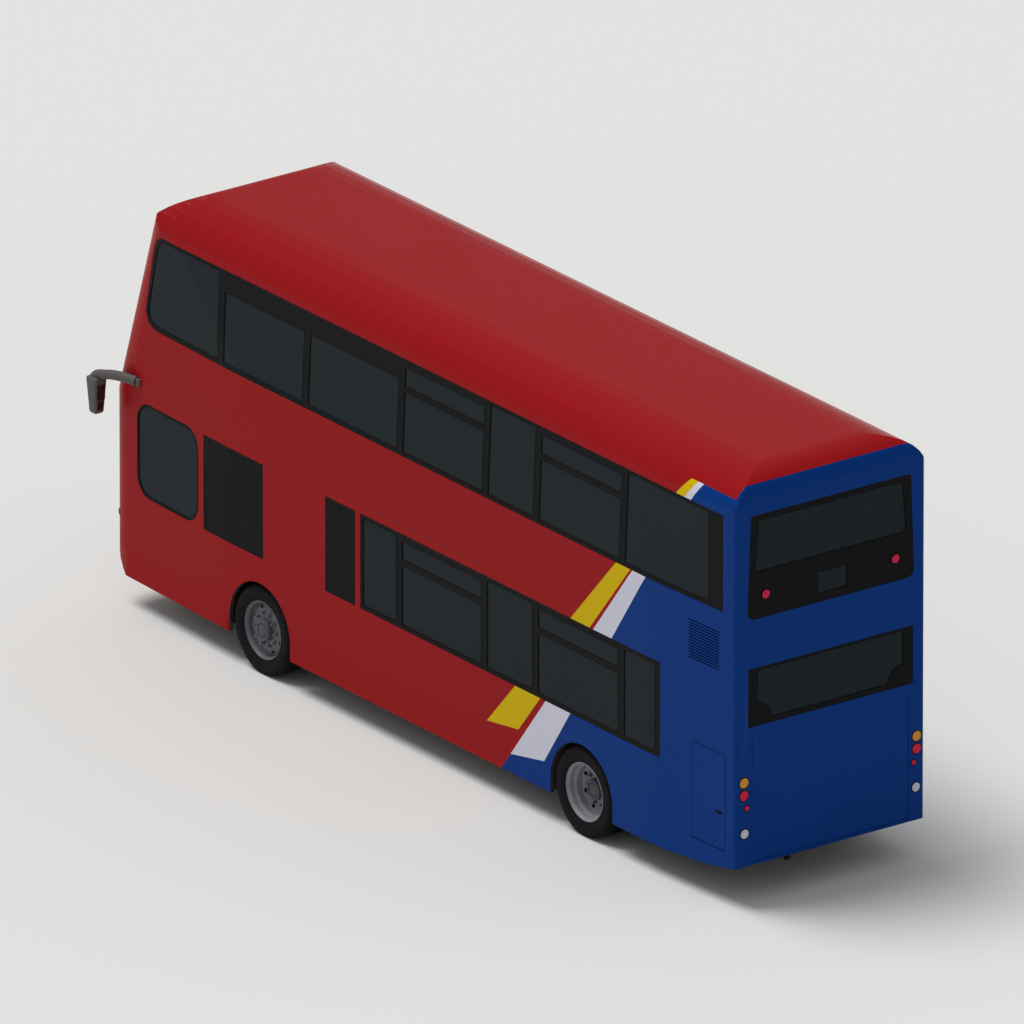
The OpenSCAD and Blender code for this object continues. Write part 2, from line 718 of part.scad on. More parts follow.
// ---------------------------------------------------------------- saloon
seat_w = 860;
module seat_profile() {
    polygon([[0, 380], [420, 400], [450, 440], [430, 470], [110, 470], [20, 1060],
             [-50, 1060], [-40, 700]]);
}
module seat(x, y, z, foot = 0) {
    translate([x, y, z]) {
        translate([0, seat_w / 2, 0]) rotate([90, 0, 0]) linear_extrude(seat_w) seat_profile();
        for (s = [-1, 1]) block(120, 300, s * 100 - 15, s * 100 + 15, foot, 400);
    }
}
seat_pitch = 740;
seat_y = inner_w - seat_w / 2 - 45;
upper_seat_y = seat_y - lean_w + 8;     // the upper sides lean in
pole_y = seat_y - seat_w / 2 - pole_r - 7;
module passenger_seats() {
    color([0.13, 0.2, 0.45]) {
        // lower deck, low floor
        for (i = [0:2]) seat(step_x + 180 + i * seat_pitch, seat_y, floor_z);
        for (i = [0:3]) seat(step_x + 180 + i * seat_pitch, -seat_y, floor_z);
        // lower deck, raised floor and over the rear wheels
        for (s = [-1, 1]) seat(bulk_x + 80, s * seat_y, rear_floor_z);
        for (s = [-1, 1]) seat(x_axle_r - 250, s * seat_y, box_z + box_t - 320, 320);
        // upper deck
        for (i = [0:10]) seat(x_rear + 330 + i * seat_pitch, -upper_seat_y, upper_floor_z);
        for (i = [0:7]) seat(x_rear + 330 + i * seat_pitch, upper_seat_y, upper_floor_z);
        for (s = [-1, 1]) seat(x_front - 1960, s * upper_seat_y, upper_floor_z);
    }
}
module handrails() {
    color([0.9, 0.75, 0.1]) {
        for (x = [step_x + 150, step_x + 150 + 2 * seat_pitch], s = [-1, 1])
            translate([x, s * pole_y, floor_z])
                cylinder(r = pole_r, h = upper_floor_z - deck_t - floor_z);
        for (s = [-1, 1]) translate([x_axle_f - 200, s * (box_in - 90), floor_z])
            cylinder(r = pole_r, h = upper_floor_z - deck_t - floor_z);
        for (s = [-1, 1], x = [bulk_x + 50, x_axle_r - 280])
            translate([x, s * pole_y, rear_floor_z])
                cylinder(r = pole_r, h = upper_floor_z - deck_t - rear_floor_z);
    }
}
cab_x = x_front - 1560;
cab_y = 230;
wheel_at = [x_front - 650, 700, 1230];
column_lean = 30;
column_r = 20;
module driver_cab() {
    color([0.3, 0.3, 0.32]) intersection() {
        envelope(wall + fit);
        union() {
            block(cab_x, cab_x + 30, cab_y, half_w, floor_z, 2300);
            block(cab_x + 29, cab_x + 700, cab_y, cab_y + 30, floor_z, 1500);
            difference() {
                union() {
                    translate([0, half_w, 0]) rotate([90, 0, 0]) linear_extrude(half_w + 250)
                        polygon([[x_front - 560, floor_z], [x_front - 60, floor_z],
                                 [x_front - 60, 1120], [x_front - 420, 1120],
                                 [x_front - 500, 1060]]);
                    on_column() translate([0, 0, -330]) cylinder(r = 38, h = 300);
                }
                on_column() translate([0, 0, -200]) cylinder(r = column_r + run, h = 300);
            }
        }
    }
}
// Along the steering column, from the middle of the wheel
module on_column() {
    translate(wheel_at) rotate([0, -column_lean, 0]) children();
}
module driver_seat() {
    color([0.15, 0.15, 0.17]) translate([x_front - 1330, 700, floor_z]) {
        block(60, 400, -200, 200, 0, 200);
        block(0, 480, -250, 250, 200, 400);
        block(-90, 40, -240, 240, 320, 1100);
    }
}
module steering_wheel() {
    color(black) on_column() {
        rotate_extrude($fn = 64) translate([215, 0]) circle(16);
        translate([0, 0, -20]) cylinder(r = 45, h = 34);
        translate([0, 0, -180]) cylinder(r = column_r, h = 170);
        for (a = [0, 120, 240]) rotate([0, 0, a]) translate([30, -12, -7]) cube([180, 24, 14]);
    }
}

// ---------------------------------------------------------------- entrance doors
door_x = [x_front - door_rear, x_front - door_front];
leaf_w = (door_x[1] - door_x[0] - 3 * door_gap) / 2;
leaf_z = [floor_z + 8, door_z1 - door_gap];
// Half width of the body along the entrance
function door_y(x) = x > x_front - 540
    ? half_w - front_taper - 5 * (x - x_front + 540) / 160
    : half_w - front_taper * (x - x_front + 1996) / 1456;
post_r = 12;
post_in = wall + 9 + post_r;     // the turning posts stand just inside the wall
// One leaf: its frame, its turning post and the two arms between them
module leaf(x0, x_post) {
    difference() {
        skin(4, wall - 5) through_side(-1) span(x0, x0 + leaf_w, leaf_z[0], leaf_z[1]);
        through_side(-1) pane(x0 + 60, x0 + leaf_w - 60, leaf_z[0] + 160, leaf_z[1] - 70, 40);
    }
    y_post = -door_y(x_post) + post_in;
    translate([x_post, y_post, floor_z + 0.3])
        cylinder(r = post_r, h = upper_floor_z - deck_t - floor_z - 0.6);
    for (z = [floor_z + 220, door_z1 - 330])
        block(min(x_post, x_post + (x0 + leaf_w / 2 > x_post ? 30 : -30)),
              max(x_post, x_post + (x0 + leaf_w / 2 > x_post ? 30 : -30)),
              y_post - post_in + wall - 9, y_post, z, z + 50);
}
module leaf_glass(x0) {
    skin(14, 14 + glass_t) through_side(-1)
        pane(x0 + 60, x0 + leaf_w - 60, leaf_z[0] + 160, leaf_z[1] - 70, 40);
}
module front_door_leaf() {
    color(black) leaf(door_x[1] - door_gap - leaf_w, door_x[1] - door_gap);
    color(glass) leaf_glass(door_x[1] - door_gap - leaf_w);
}
module rear_door_leaf() {
    color(black) leaf(door_x[0] + door_gap, door_x[0] + door_gap);
    color(glass) leaf_glass(door_x[0] + door_gap);
}

// ---------------------------------------------------------------- running gear
king_y = tyre_y - king_offset;
king_r = 28;
spindle_r = 40;
module front_axle() {
    color([0.2, 0.2, 0.21]) {
        block(x_axle_f - 45, x_axle_f + 45, -king_y + 120, king_y - 120, beam_z[0], beam_z[1]);
        for (s = [-1, 1]) mirror([0, s < 0 ? 1 : 0, 0]) {
            block(x_axle_f - 45, x_axle_f + 45, king_y - 190, king_y - 110, beam_z[0], 520);
            block(x_axle_f - 45, x_axle_f + 45, king_y - 120, king_y - 30, 412, 520);
            difference() {
                translate([x_axle_f, king_y, 412]) cylinder(r = 55, h = 108);
                translate([x_axle_f, king_y, 400]) cylinder(r = king_r + run, h = 140);
            }
            translate([x_axle_f, spring_y, beam_z[1] - 1]) cylinder(r = spring_r,
                                                                 h = 671 - beam_z[1]);
        }
    }
}
module knuckle(s) {
    color([0.22, 0.22, 0.24]) mirror([0, s < 0 ? 1 : 0, 0]) {
        translate([x_axle_f, king_y, 350]) cylinder(r = king_r, h = 232);
        for (z = [350, 540]) translate([x_axle_f, king_y, z]) cylinder(r = 55, h = 42);
        block(x_axle_f - 50, x_axle_f + 50, king_y + 68, king_y + 95, 350, 582);
        block(x_axle_f - 50, x_axle_f + 50, king_y, king_y + 69, 350, 392);
        block(x_axle_f - 50, x_axle_f + 50, king_y, king_y + 69, 540, 582);
        y_rod(spindle_r, king_y + 90, king_y + 220, x_axle_f, tyre_r);
    }
}
// A steel wheel: rim, dished disc, hub and studs; s = 1 stands on the left
module disc_wheel(x, y, s, dish, hub_out) {
    translate([x, y, tyre_r]) rotate([s > 0 ? -90 : 90, 0, 0]) {
        difference() {
            union() {
                rotate_extrude($fn = 96) polygon([[rim_r - 26, -118], [rim_r, -118],
                    [rim_r, -100], [rim_r - 12, -92], [rim_r - 12, 92], [rim_r, 100],
                    [rim_r, 118], [rim_r - 26, 118]]);
                translate([0, 0, dish - 8]) cylinder(r = rim_r - 20, h = 16, $fn = 96);
                translate([0, 0, min(dish - 60, hub_out - 40)])
                    cylinder(r = 110, h = hub_out - min(dish - 60, hub_out - 40));
                for (i = [0:9]) rotate([0, 0, i * 36]) translate([stud_circle_r, 0, dish])
                    cylinder(r = stud_r, h = 55);
            }
            translate([0, 0, -300]) cylinder(r = spindle_r + run, h = 300 + hub_out - 24);
        }
    }
}
module tyre_ring(x, y) {
    translate([x, y, tyre_r]) rotate([90, 0, 0]) rotate_extrude($fn = 128)
        polygon(concat([[rim_r + 0.2, -118], [rim_r + 26, -118]],
            [for (a = [-90:15:0]) [tyre_r - 40 + 40 * cos(a), -tyre_w / 2 + 40 + 40 * sin(a)]],
            [for (a = [0:15:90]) [tyre_r - 40 + 40 * cos(a), tyre_w / 2 - 40 + 40 * sin(a)]],
            [[rim_r + 26, 118], [rim_r + 0.2, 118]]));
}
twin_pitch = tyre_w + 35;
module front_left_wheel() { color([0.55, 0.55, 0.57]) disc_wheel(x_axle_f, tyre_y, 1, 60, 128); }
module front_right_wheel() { color([0.55, 0.55, 0.57]) disc_wheel(x_axle_f, -tyre_y, -1, 60, 128); }
module front_left_tyre() { color([0.1, 0.1, 0.11]) tyre_ring(x_axle_f, tyre_y); }
module front_right_tyre() { color([0.1, 0.1, 0.11]) tyre_ring(x_axle_f, -tyre_y); }
module rear_wheels(s) {
    color([0.55, 0.55, 0.57]) {
        disc_wheel(x_axle_r, s * tyre_y, s, -70, 20);
        difference() {
            translate([x_axle_r, s * (tyre_y - twin_pitch), tyre_r])
                rotate([s > 0 ? -90 : 90, 0, 0]) {
                    rotate_extrude($fn = 96) polygon([[rim_r - 26, -118], [rim_r, -118],
                        [rim_r, 118], [rim_r - 26, 118]]);
                    translate([0, 0, 100]) cylinder(r = rim_r - 20, h = 16);
                    translate([0, 0, -20]) cylinder(r = 110, h = 260);
                }
            y_rod(spindle_r + run, s > 0 ? 300 : -tyre_y, s > 0 ? tyre_y : -300,
                  x_axle_r, tyre_r);
        }
    }
}
module rear_left_wheels() { rear_wheels(1); }
module rear_right_wheels() { rear_wheels(-1); }
module rear_tyres(s) {
    color([0.1, 0.1, 0.11]) {
        tyre_ring(x_axle_r, s * tyre_y);
        tyre_ring(x_axle_r, s * (tyre_y - twin_pitch));
    }
}
module rear_left_tyres() { rear_tyres(1); }
module rear_right_tyres() { rear_tyres(-1); }
module rear_axle() {
    color([0.2, 0.2, 0.21]) {
        y_rod(80, -600, 600, x_axle_r, tyre_r);
        translate([x_axle_r, 0, tyre_r]) sphere(150);
        y_rod(spindle_r, -tyre_y + 20, tyre_y - 20, x_axle_r, tyre_r);
        for (s = [-1, 1]) mirror([0, s < 0 ? 1 : 0, 0]) {
            block(x_axle_r - cradle_x - 80, x_axle_r + cradle_x + 80, 440, 520,
                  cradle_z - 60, cradle_z);
            for (k = [-1, 1]) translate([x_axle_r + k * cradle_x, 450, cradle_z - 1])
                cylinder(r = 75, h = high_rail_z[0] - cradle_z + 1);
        }
        translate([engine_x[1], 0, 520]) rotate([0, 90, 0])
            cylinder(r = 45, h = x_axle_r - engine_x[1] - 100);
    }
}

chassis_frame();
lower_floor();
upper_floor();
left_lower_side();
right_lower_side();
left_upper_side();
right_upper_side();
roof();
front_lower_panel();
front_upper_panel();
rear_panel();
lower_window_frames();
upper_window_frames();
lower_window_glass();
upper_window_glass();
windscreens();
destination_display();
front_bumper();
headlamps();
wipers();
mirrors();
rear_lamps();
engine_lid();
service_door();
staircase();
passenger_seats();
handrails();
driver_cab();
driver_seat();
steering_wheel();
front_door_leaf();
rear_door_leaf();
front_axle();
knuckle(1);  // left_knuckle
knuckle(-1);  // right_knuckle
front_left_wheel();
front_right_wheel();
front_left_tyre();
front_right_tyre();
rear_axle();
rear_left_wheels();
rear_right_wheels();
rear_left_tyres();
rear_right_tyres();
engine_block();
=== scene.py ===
# %% [markdown]
# # A double decker bus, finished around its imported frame
# The frame already holds every piece at its real size, in metres: +X runs forward, +Y to the
# bus's left and +Z up. This lesson never moves those pieces. It gives them their real surfaces,
# and where a plain CAD solid is too plain it models a better one and lets it stand in its place.

# %% Load the frame
import math

import bmesh
import bpy
from mathutils import Matrix, Vector
from mathutils.bvhtree import BVHTree


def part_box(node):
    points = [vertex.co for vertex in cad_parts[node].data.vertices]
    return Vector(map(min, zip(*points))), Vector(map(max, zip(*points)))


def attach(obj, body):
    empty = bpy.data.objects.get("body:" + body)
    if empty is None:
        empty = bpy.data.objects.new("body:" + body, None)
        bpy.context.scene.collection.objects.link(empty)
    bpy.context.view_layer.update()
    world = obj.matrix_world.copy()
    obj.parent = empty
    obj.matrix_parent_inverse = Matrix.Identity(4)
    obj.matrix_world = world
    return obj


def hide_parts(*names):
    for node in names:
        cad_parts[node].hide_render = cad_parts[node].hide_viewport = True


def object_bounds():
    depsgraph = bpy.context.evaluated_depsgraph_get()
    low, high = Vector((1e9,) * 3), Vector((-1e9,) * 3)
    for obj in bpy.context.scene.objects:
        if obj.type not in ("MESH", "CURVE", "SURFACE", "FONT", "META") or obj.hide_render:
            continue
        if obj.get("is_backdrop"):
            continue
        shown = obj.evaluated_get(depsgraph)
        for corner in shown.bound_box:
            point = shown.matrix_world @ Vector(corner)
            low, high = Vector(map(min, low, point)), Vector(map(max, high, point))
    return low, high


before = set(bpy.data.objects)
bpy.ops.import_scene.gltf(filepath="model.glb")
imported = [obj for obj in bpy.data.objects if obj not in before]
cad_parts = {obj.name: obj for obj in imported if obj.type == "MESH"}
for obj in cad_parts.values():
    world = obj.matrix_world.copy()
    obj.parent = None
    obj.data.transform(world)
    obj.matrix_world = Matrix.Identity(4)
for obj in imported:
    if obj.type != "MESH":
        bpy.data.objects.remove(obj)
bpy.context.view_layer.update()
x_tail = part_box("rear_panel")[0].x
x_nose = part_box("front_lower_panel")[1].x
sill_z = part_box("lower_window_frames")[0].z

# %% [markdown]
# ## Colours and shader nodes
# A painter's colour card is written in sRGB, but a renderer adds light in linear values, so one
# function turns a hex colour to linear. Every material below is a small graph of nodes. One
# helper adds a node, sets its own options and joins its inputs, which keeps each graph readable.

# %% Colour and node helpers
MM = 0.001


def linear(code):
    """An sRGB hex colour as linear red, green, blue and a full alpha."""
    levels = [int(code[i:i + 2], 16) / 255 for i in (1, 3, 5)]
    return [v / 12.92 if v <= 0.04045 else ((v + 0.055) / 1.055) ** 2.4 for v in levels] + [1.0]


def add_node(tree, kind, inputs=None, **options):
    """One node with its options set and its inputs given a value or joined to a socket."""
    made = tree.nodes.new(kind)
    for name, value in options.items():
        setattr(made, name, value)
    for key, value in (inputs or {}).items():
        if isinstance(value, bpy.types.NodeSocket):
            tree.links.new(value, made.inputs[key])
        else:
            made.inputs[key].default_value = value
    return made


def maths(tree, operation, *values):
    """The result of one sum on numbers and sockets."""
    return add_node(tree, "ShaderNodeMath", dict(enumerate(values)),
                    operation=operation).outputs[0]


def remap(tree, value, came, goes):
    """A value carried over from one range to another."""
    return add_node(tree, "ShaderNodeMapRange",
                    {"Value": value, "From Min": came[0], "From Max": came[1],
                     "To Min": goes[0], "To Max": goes[1]}).outputs["Result"]


def grain(tree, place, size_mm, detail=2.0):
    """The height of a random grain of that size."""
    return add_node(tree, "ShaderNodeTexNoise", {"Vector": place, "Scale": 1 / (size_mm * MM),
                                                 "Detail": detail}).outputs["Fac"]


def cells(tree, place, size_mm):
    """How far each point lies from the heart of its cell, for cells of that size."""
    return add_node(tree, "ShaderNodeTexVoronoi",
                    {"Vector": place, "Scale": 1 / (size_mm * MM)}).outputs["Distance"]


def paint_over(tree, where, under, paint):
    """Sprays a paint over a colour or a socket, as far as the mask is 1."""
    mix = add_node(tree, "ShaderNodeMix", data_type="RGBA")
    tree.links.new(where, mix.inputs["Factor"])
    if isinstance(under, str):
        mix.inputs["A"].default_value = linear(under)
    else:
        tree.links.new(under, mix.inputs["A"])
    mix.inputs["B"].default_value = linear(paint)
    return mix.outputs["Result"]


def begin(name, colour, **sockets):
    """A new material: its tree, its shader and the place of each point on the object."""
    made = bpy.data.materials.new(name)
    made.use_nodes = True
    tree = made.node_tree
    shader = tree.nodes["Principled BSDF"]
    shader.inputs["Base Color"].default_value = linear(colour)
    for key, value in sockets.items():
        shader.inputs[key.replace("_", " ")].default_value = value
    place = add_node(tree, "ShaderNodeTexCoord").outputs["Object"]
    return made, tree, shader, place


def relief(tree, shader, height, depth_mm):
    """Raises the surface by a height pattern of that depth."""
    bump = add_node(tree, "ShaderNodeBump", {"Height": height, "Distance": depth_mm * MM,
                                             "Strength": 1.0})
    tree.links.new(bump.outputs["Normal"], shader.inputs["Normal"])


def uneven(tree, shader, place, size_mm, low, high):
    """Lets the roughness wander between two values over patches of that size."""
    cloud = grain(tree, place, size_mm, 3.0)
    tree.links.new(remap(tree, cloud, (0.3, 0.7), (low, high)), shader.inputs["Roughness"])
    return cloud


def tinted(tree, shader, amount, dark, light):
    """Colours the surface between two paints by an amount from 0 to 1."""
    tree.links.new(paint_over(tree, amount, dark, light), shader.inputs["Base Color"])


print("a mid grey is", [round(v, 3) for v in linear("#808080")[:3]])

# %% [markdown]
# ## The livery
# The bus is red to the front and blue to the rear, parted by a yellow and a white stripe that
# fan out as they come down the side. On the real bus these are masked and sprayed one after the
# other. An image could carry them, but four slanted lines say the same thing at any resolution:
# each paint covers what lies behind its line. Two-pack enamel keeps a faint orange peel, a few
# millimetres wide, and its gloss dulls towards the skirt where the road dust settles.

# %% Stripes and enamel
RED, BLUE, YELLOW, WHITE = "#981418", "#02357E", "#D1B200", "#D0D0E0"
# How far ahead of the tail each line meets the window sill, and how far it leans back per metre
YELLOW_LINES = ((3.522, 0.907), (3.109, 0.808))
WHITE_LINES = ((3.021, 0.778), (2.614, 0.672))
# Where each stripe is cut off below: a height, at that place ahead of the tail, and its rise
YELLOW_FOOT = (0.731, 3.985, 0.137)
WHITE_FOOT = (0.509, 3.572, 0.179)
ROOF_LINE = 4.261         # height of the crease where the stripes stop and the roof is all red
TAIL_LINE = 0.066         # the rear panel and its corners are all blue
DUST_HEIGHTS = (1.1, 0.35)


def behind(tree, x, z, line):
    """1 where a point lies behind a slanted line of the livery, and 0 ahead of it."""
    ahead, lean = line
    return maths(tree, "LESS_THAN", maths(tree, "MULTIPLY_ADD", z, lean, x),
                 x_tail + ahead + lean * sill_z)


def above(tree, x, z, foot):
    """1 above the slanted end of a stripe, and 0 below it."""
    height, ahead, rise = foot
    return maths(tree, "GREATER_THAN", maths(tree, "MULTIPLY_ADD", x, rise, z),
                 height + rise * (x_tail + ahead))


def stripes(tree, x, z):
    """The paints of the livery, sprayed one over the other on a red bus."""
    yellow, ahead_of_white = (behind(tree, x, z, line) for line in YELLOW_LINES)
    white, tail = (behind(tree, x, z, line) for line in WHITE_LINES)
    under_yellow = maths(tree, "SUBTRACT", 1.0, above(tree, x, z, YELLOW_FOOT))
    white_band = maths(tree, "MULTIPLY", white, above(tree, x, z, WHITE_FOOT))
    coat = RED
    for where, paint in ((yellow, YELLOW), (ahead_of_white, RED), (under_yellow, RED),
                         (white, BLUE), (white_band, WHITE), (tail, BLUE),
                         (maths(tree, "GREATER_THAN", z, ROOF_LINE), RED),
                         (maths(tree, "LESS_THAN", x, x_tail + TAIL_LINE), BLUE)):
        coat = paint_over(tree, where, coat, paint)
    return coat


def enamel(name):
    """Two-pack coach enamel in the livery."""
    made, tree, shader, place = begin(name, RED, Specular_IOR_Level=0.05)
    apart = add_node(tree, "ShaderNodeSeparateXYZ", {"Vector": place})
    x, z = apart.outputs["X"], apart.outputs["Z"]
    tree.links.new(stripes(tree, x, z), shader.inputs["Base Color"])
    dust = remap(tree, z, DUST_HEIGHTS, (0.0, 0.2))
    gloss = maths(tree, "MULTIPLY_ADD", grain(tree, place, 320, 4.0), 0.12, 0.2)
    tree.links.new(maths(tree, "ADD", gloss, dust), shader.inputs["Roughness"])
    relief(tree, shader, grain(tree, place, 14, 1.0), 0.12)
    return made


livery = enamel("two_pack_coach_enamel")
print("livery lines:", len(YELLOW_LINES) + len(WHITE_LINES))

# %% [markdown]
# ## Glass and gloss black
# The window bands are black-edged toughened glass bonded flush to black frames. The panes are
# privacy glass: a grey-green tint that lets little out, so the saloon shows only as a shade.
# True refraction through a pane 6 mm thick adds noise and no shape, so the panes use a dark
# base colour and an alpha under 1 instead, with a soft patchy gloss from wiping.

# %% Glass and black band
def pane_glass(name, tint, alpha):
    """Tinted glass that lets through what is left over from its alpha."""
    made, tree, shader, place = begin(name, tint, Alpha=alpha, IOR=1.5, Specular_IOR_Level=0.08)
    uneven(tree, shader, place, 260, 0.03, 0.1)
    relief(tree, shader, grain(tree, place, 420, 1.0), 0.25)
    return made


def satin_black(name, colour, low, high, grain_mm, depth_mm):
    """A dark moulded or painted finish, with its gloss between two values."""
    made, tree, shader, place = begin(name, colour, Specular_IOR_Level=0.05)
    uneven(tree, shader, place, 180, low, high)
    relief(tree, shader, grain(tree, place, grain_mm), depth_mm)
    return made


privacy_glass = pane_glass("toughened_privacy_glass", "#182228", 0.94)
screen_glass = pane_glass("laminated_screen_glass", "#1A242A", 0.86)
black_band = satin_black("fritted_black_glazing_band", "#111113", 0.22, 0.36, 30, 0.04)
black_panel = satin_black("satin_black_infill_panel", "#111113", 0.38, 0.5, 3, 0.05)
gasket = satin_black("moulded_epdm_gasket", "#0E0E10", 0.5, 0.7, 2.5, 0.06)
print("black finishes:", [m.name for m in (black_band, black_panel, gasket)])

# %% [markdown]
# ## Rubber, steel, iron and plastics
# A tyre is carbon-black rubber: no gloss, a fine grain from the mould and a grey bloom. Wheels
# are steel pressings under grey epoxy, with brake dust in broad patches; the rear wheels carry a
# lighter grey, painted light that makes up for the shade in their deep dish. Rails are folded
# steel under black wax and axles are painted castings, rough to a
# few millimetres. Small mouldings are ABS with a spark-eroded grain. Each pattern is as wide as
# the real one, or as coarse as it needs to show.

# %% Chassis, wheel and trim materials
def worn(name, dark, light, patch_mm, rough, grain_mm, depth_mm, metallic=0.0):
    """A finish whose colour and gloss drift between two values over broad patches."""
    made, tree, shader, place = begin(name, dark, Metallic=metallic, Specular_IOR_Level=0.18)
    patches = uneven(tree, shader, place, patch_mm, *rough)
    tinted(tree, shader, patches, dark, light)
    relief(tree, shader, grain(tree, place, grain_mm, 3.0), depth_mm)
    return made


tyre_rubber = worn("carbon_black_tyre_rubber", "#0B0A0C", "#151416", 90, (0.75, 0.95), 4, 0.3)
wheel_enamel = worn("grey_epoxy_on_pressed_steel", "#595A62", "#6C6D75", 120, (0.35, 0.55), 6, 0.1)
hub_iron = worn("painted_cast_iron_hub", "#4A4A50", "#58585E", 60, (0.45, 0.65), 5, 0.3)
nut_zinc = worn("zinc_plated_wheel_nut", "#77777C", "#8E8E92", 25, (0.3, 0.5), 3, 0.1, 0.8)
chassis_wax = worn("black_waxed_chassis_steel", "#131315", "#232324", 160, (0.5, 0.8), 7, 0.5)
axle_iron = worn("painted_cast_iron_axle", "#1E1E20", "#303032", 110, (0.5, 0.75), 6, 0.6)
arch_board = worn("brown_glass_fibre_arch_lining", "#2A2626", "#393434", 140, (0.6, 0.85), 9, 0.4)
mirror_abs = worn("grained_grey_abs", "#55504F", "#625D5D", 80, (0.45, 0.6), 3, 0.12)
cab_abs = worn("grained_charcoal_abs", "#2B2B2D", "#363638", 120, (0.5, 0.7), 4, 0.15)
wheel_foam = worn("integral_foam_steering_rim", "#101011", "#1A1A1B", 40, (0.45, 0.65), 3, 0.15)
pole_powder = worn("yellow_powder_coated_tube", "#D9A514", "#E6B21C", 70, (0.3, 0.45), 5, 0.05)
alloy = worn("anodised_aluminium_trim", "#8E8E91", "#A4A4A7", 60, (0.25, 0.4), 4, 0.03, 0.9)
# Painted light: a lighter copy of the wheel grey for the rear wheels, making up for the shade in
# their deep dish rather than being a second paint
rear_wheel_grey_lightened_for_shade = worn("wheel_grey_lightened_against_recess_shade", "#7E7F87", "#92939B", 120, (0.35, 0.55),
                    6, 0.1)


def flooring():
    """PVC safety floor: pale grit chips 4 mm apart in a grey sheet, over dark boarding."""
    made, tree, shader, place = begin("pvc_safety_flooring", "#55565A")
    dots = remap(tree, cells(tree, place, 4), (0.12, 0.2), (1.0, 0.0))
    sheet = paint_over(tree, dots, "#505155", "#8B8C90")
    facing = add_node(tree, "ShaderNodeSeparateXYZ", {
        "Vector": add_node(tree, "ShaderNodeNewGeometry").outputs["True Normal"]})
    under = maths(tree, "LESS_THAN", facing.outputs["Z"], 0.5)
    tree.links.new(paint_over(tree, under, sheet, "#2C2726"), shader.inputs["Base Color"])
    uneven(tree, shader, place, 150, 0.55, 0.75)
    relief(tree, shader, dots, 0.2)
    return made


def moquette():
    """Cut-pile moquette: loops about 3 mm apart, drawn 6 mm so that they show, in two blues."""
    made, tree, shader, place = begin("cut_pile_moquette", "#1C2F63", Sheen_Weight=0.35,
                                      Roughness=0.9)
    rows = add_node(tree, "ShaderNodeTexChecker", {"Vector": place, "Scale": 1 / (90 * MM)})
    tinted(tree, shader, rows.outputs["Fac"], "#1A2A5C", "#22407C")
    relief(tree, shader, cells(tree, place, 6), 0.8)
    return made


floor_pvc = flooring()
seat_moquette = moquette()
print("materials so far:", len(bpy.data.materials))

# %% [markdown]
# ## Lamp lenses
# A lamp is a moulded polycarbonate lens over a reflector. Rings of prisms in its back spread the
# light, and from outside they show as a fine ripple. Here the ripple is bump on a lens of solid
# colour, and the rings themselves are part of each lamp's shape.

# %% Lens materials
def lens(name, colour):
    """Moulded polycarbonate in one colour, faintly rippled."""
    made, tree, shader, place = begin(name, colour, Specular_IOR_Level=0.15,
                                      Coat_Weight=0.08, Coat_Roughness=0.05)
    uneven(tree, shader, place, 30, 0.12, 0.25)
    relief(tree, shader, cells(tree, place, 9), 0.5)
    return made


amber_lens = lens("amber_polycarbonate_lens", "#CE9128")
red_lens = lens("crimson_polycarbonate_lens", "#C8143F")
clear_lens = lens("clear_polycarbonate_lens", "#C4C6D6")
silvered, tree, shader, place = begin("silvered_mirror_glass", "#5C6065", Metallic=1.0)
uneven(tree, shader, place, 60, 0.3, 0.4)
print("materials now:", len(bpy.data.materials))

# %% [markdown]
# ## Modelling helpers
# Each new shape starts as a bmesh primitive or a short profile and is worked by operators: a
# profile is spun, a cube is bevelled, a face is inset. `finish_piece` turns the bmesh into an
# object at the origin with its place in its mesh, smooths what should be smooth, and lets it
# ride on its body.

# %% Helpers for shapes and pieces
def linked(name, mesh):
    """A new object in the scene that carries a mesh, a curve, a lamp or a camera."""
    made = bpy.data.objects.new(name, mesh)
    bpy.context.scene.collection.objects.link(made)
    return made


def finish_piece(name, bm, material, body="body", replaces=(), crease=32):
    """Makes the bmesh a piece of that name, with its material, that rides on a body."""
    mesh = bpy.data.meshes.new(name)
    bm.to_mesh(mesh)
    bm.free()
    mesh.shade_smooth()
    mesh.set_sharp_from_angle(angle=math.radians(crease))
    mesh.materials.append(material)
    made = linked(name, mesh)
    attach(made, body)
    if replaces:
        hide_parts(*replaces)
    return made


def at(x, y, z):
    """A move to a place."""
    return Matrix.Translation((x, y, z))


def turned(angle, axis):
    """A turn about the X, Y or Z axis."""
    return Matrix.Rotation(angle, 4, axis)


def pour(bm, part, matrix=None):
    """Adds one bmesh to another, moved by a matrix, and frees it."""
    mesh = bpy.data.meshes.new("poured")
    part.to_mesh(mesh)
    part.free()
    if matrix is not None:
        mesh.transform(matrix)
        if matrix.determinant() < 0:
            mesh.flip_normals()
    bm.from_mesh(mesh)
    bpy.data.meshes.remove(mesh)
    return bm


def soften(bm, radius, segments=2):
    """Rounds every edge of a shape with a bevel."""
    bmesh.ops.bevel(bm, geom=bm.edges[:], offset=radius, offset_type="OFFSET",
                    segments=segments, profile=0.5, affect="EDGES", material=-1)


def rounded_box(low, high, radius, segments=2):
    """A cube between two corners with its edges bevelled."""
    low, high = Vector(low), Vector(high)
    bm = bmesh.new()
    bmesh.ops.create_cube(bm, size=1.0)
    bmesh.ops.scale(bm, vec=high - low, verts=bm.verts)
    bmesh.ops.translate(bm, vec=(low + high) / 2, verts=bm.verts)
    if radius:
        soften(bm, radius, segments)
    return bm


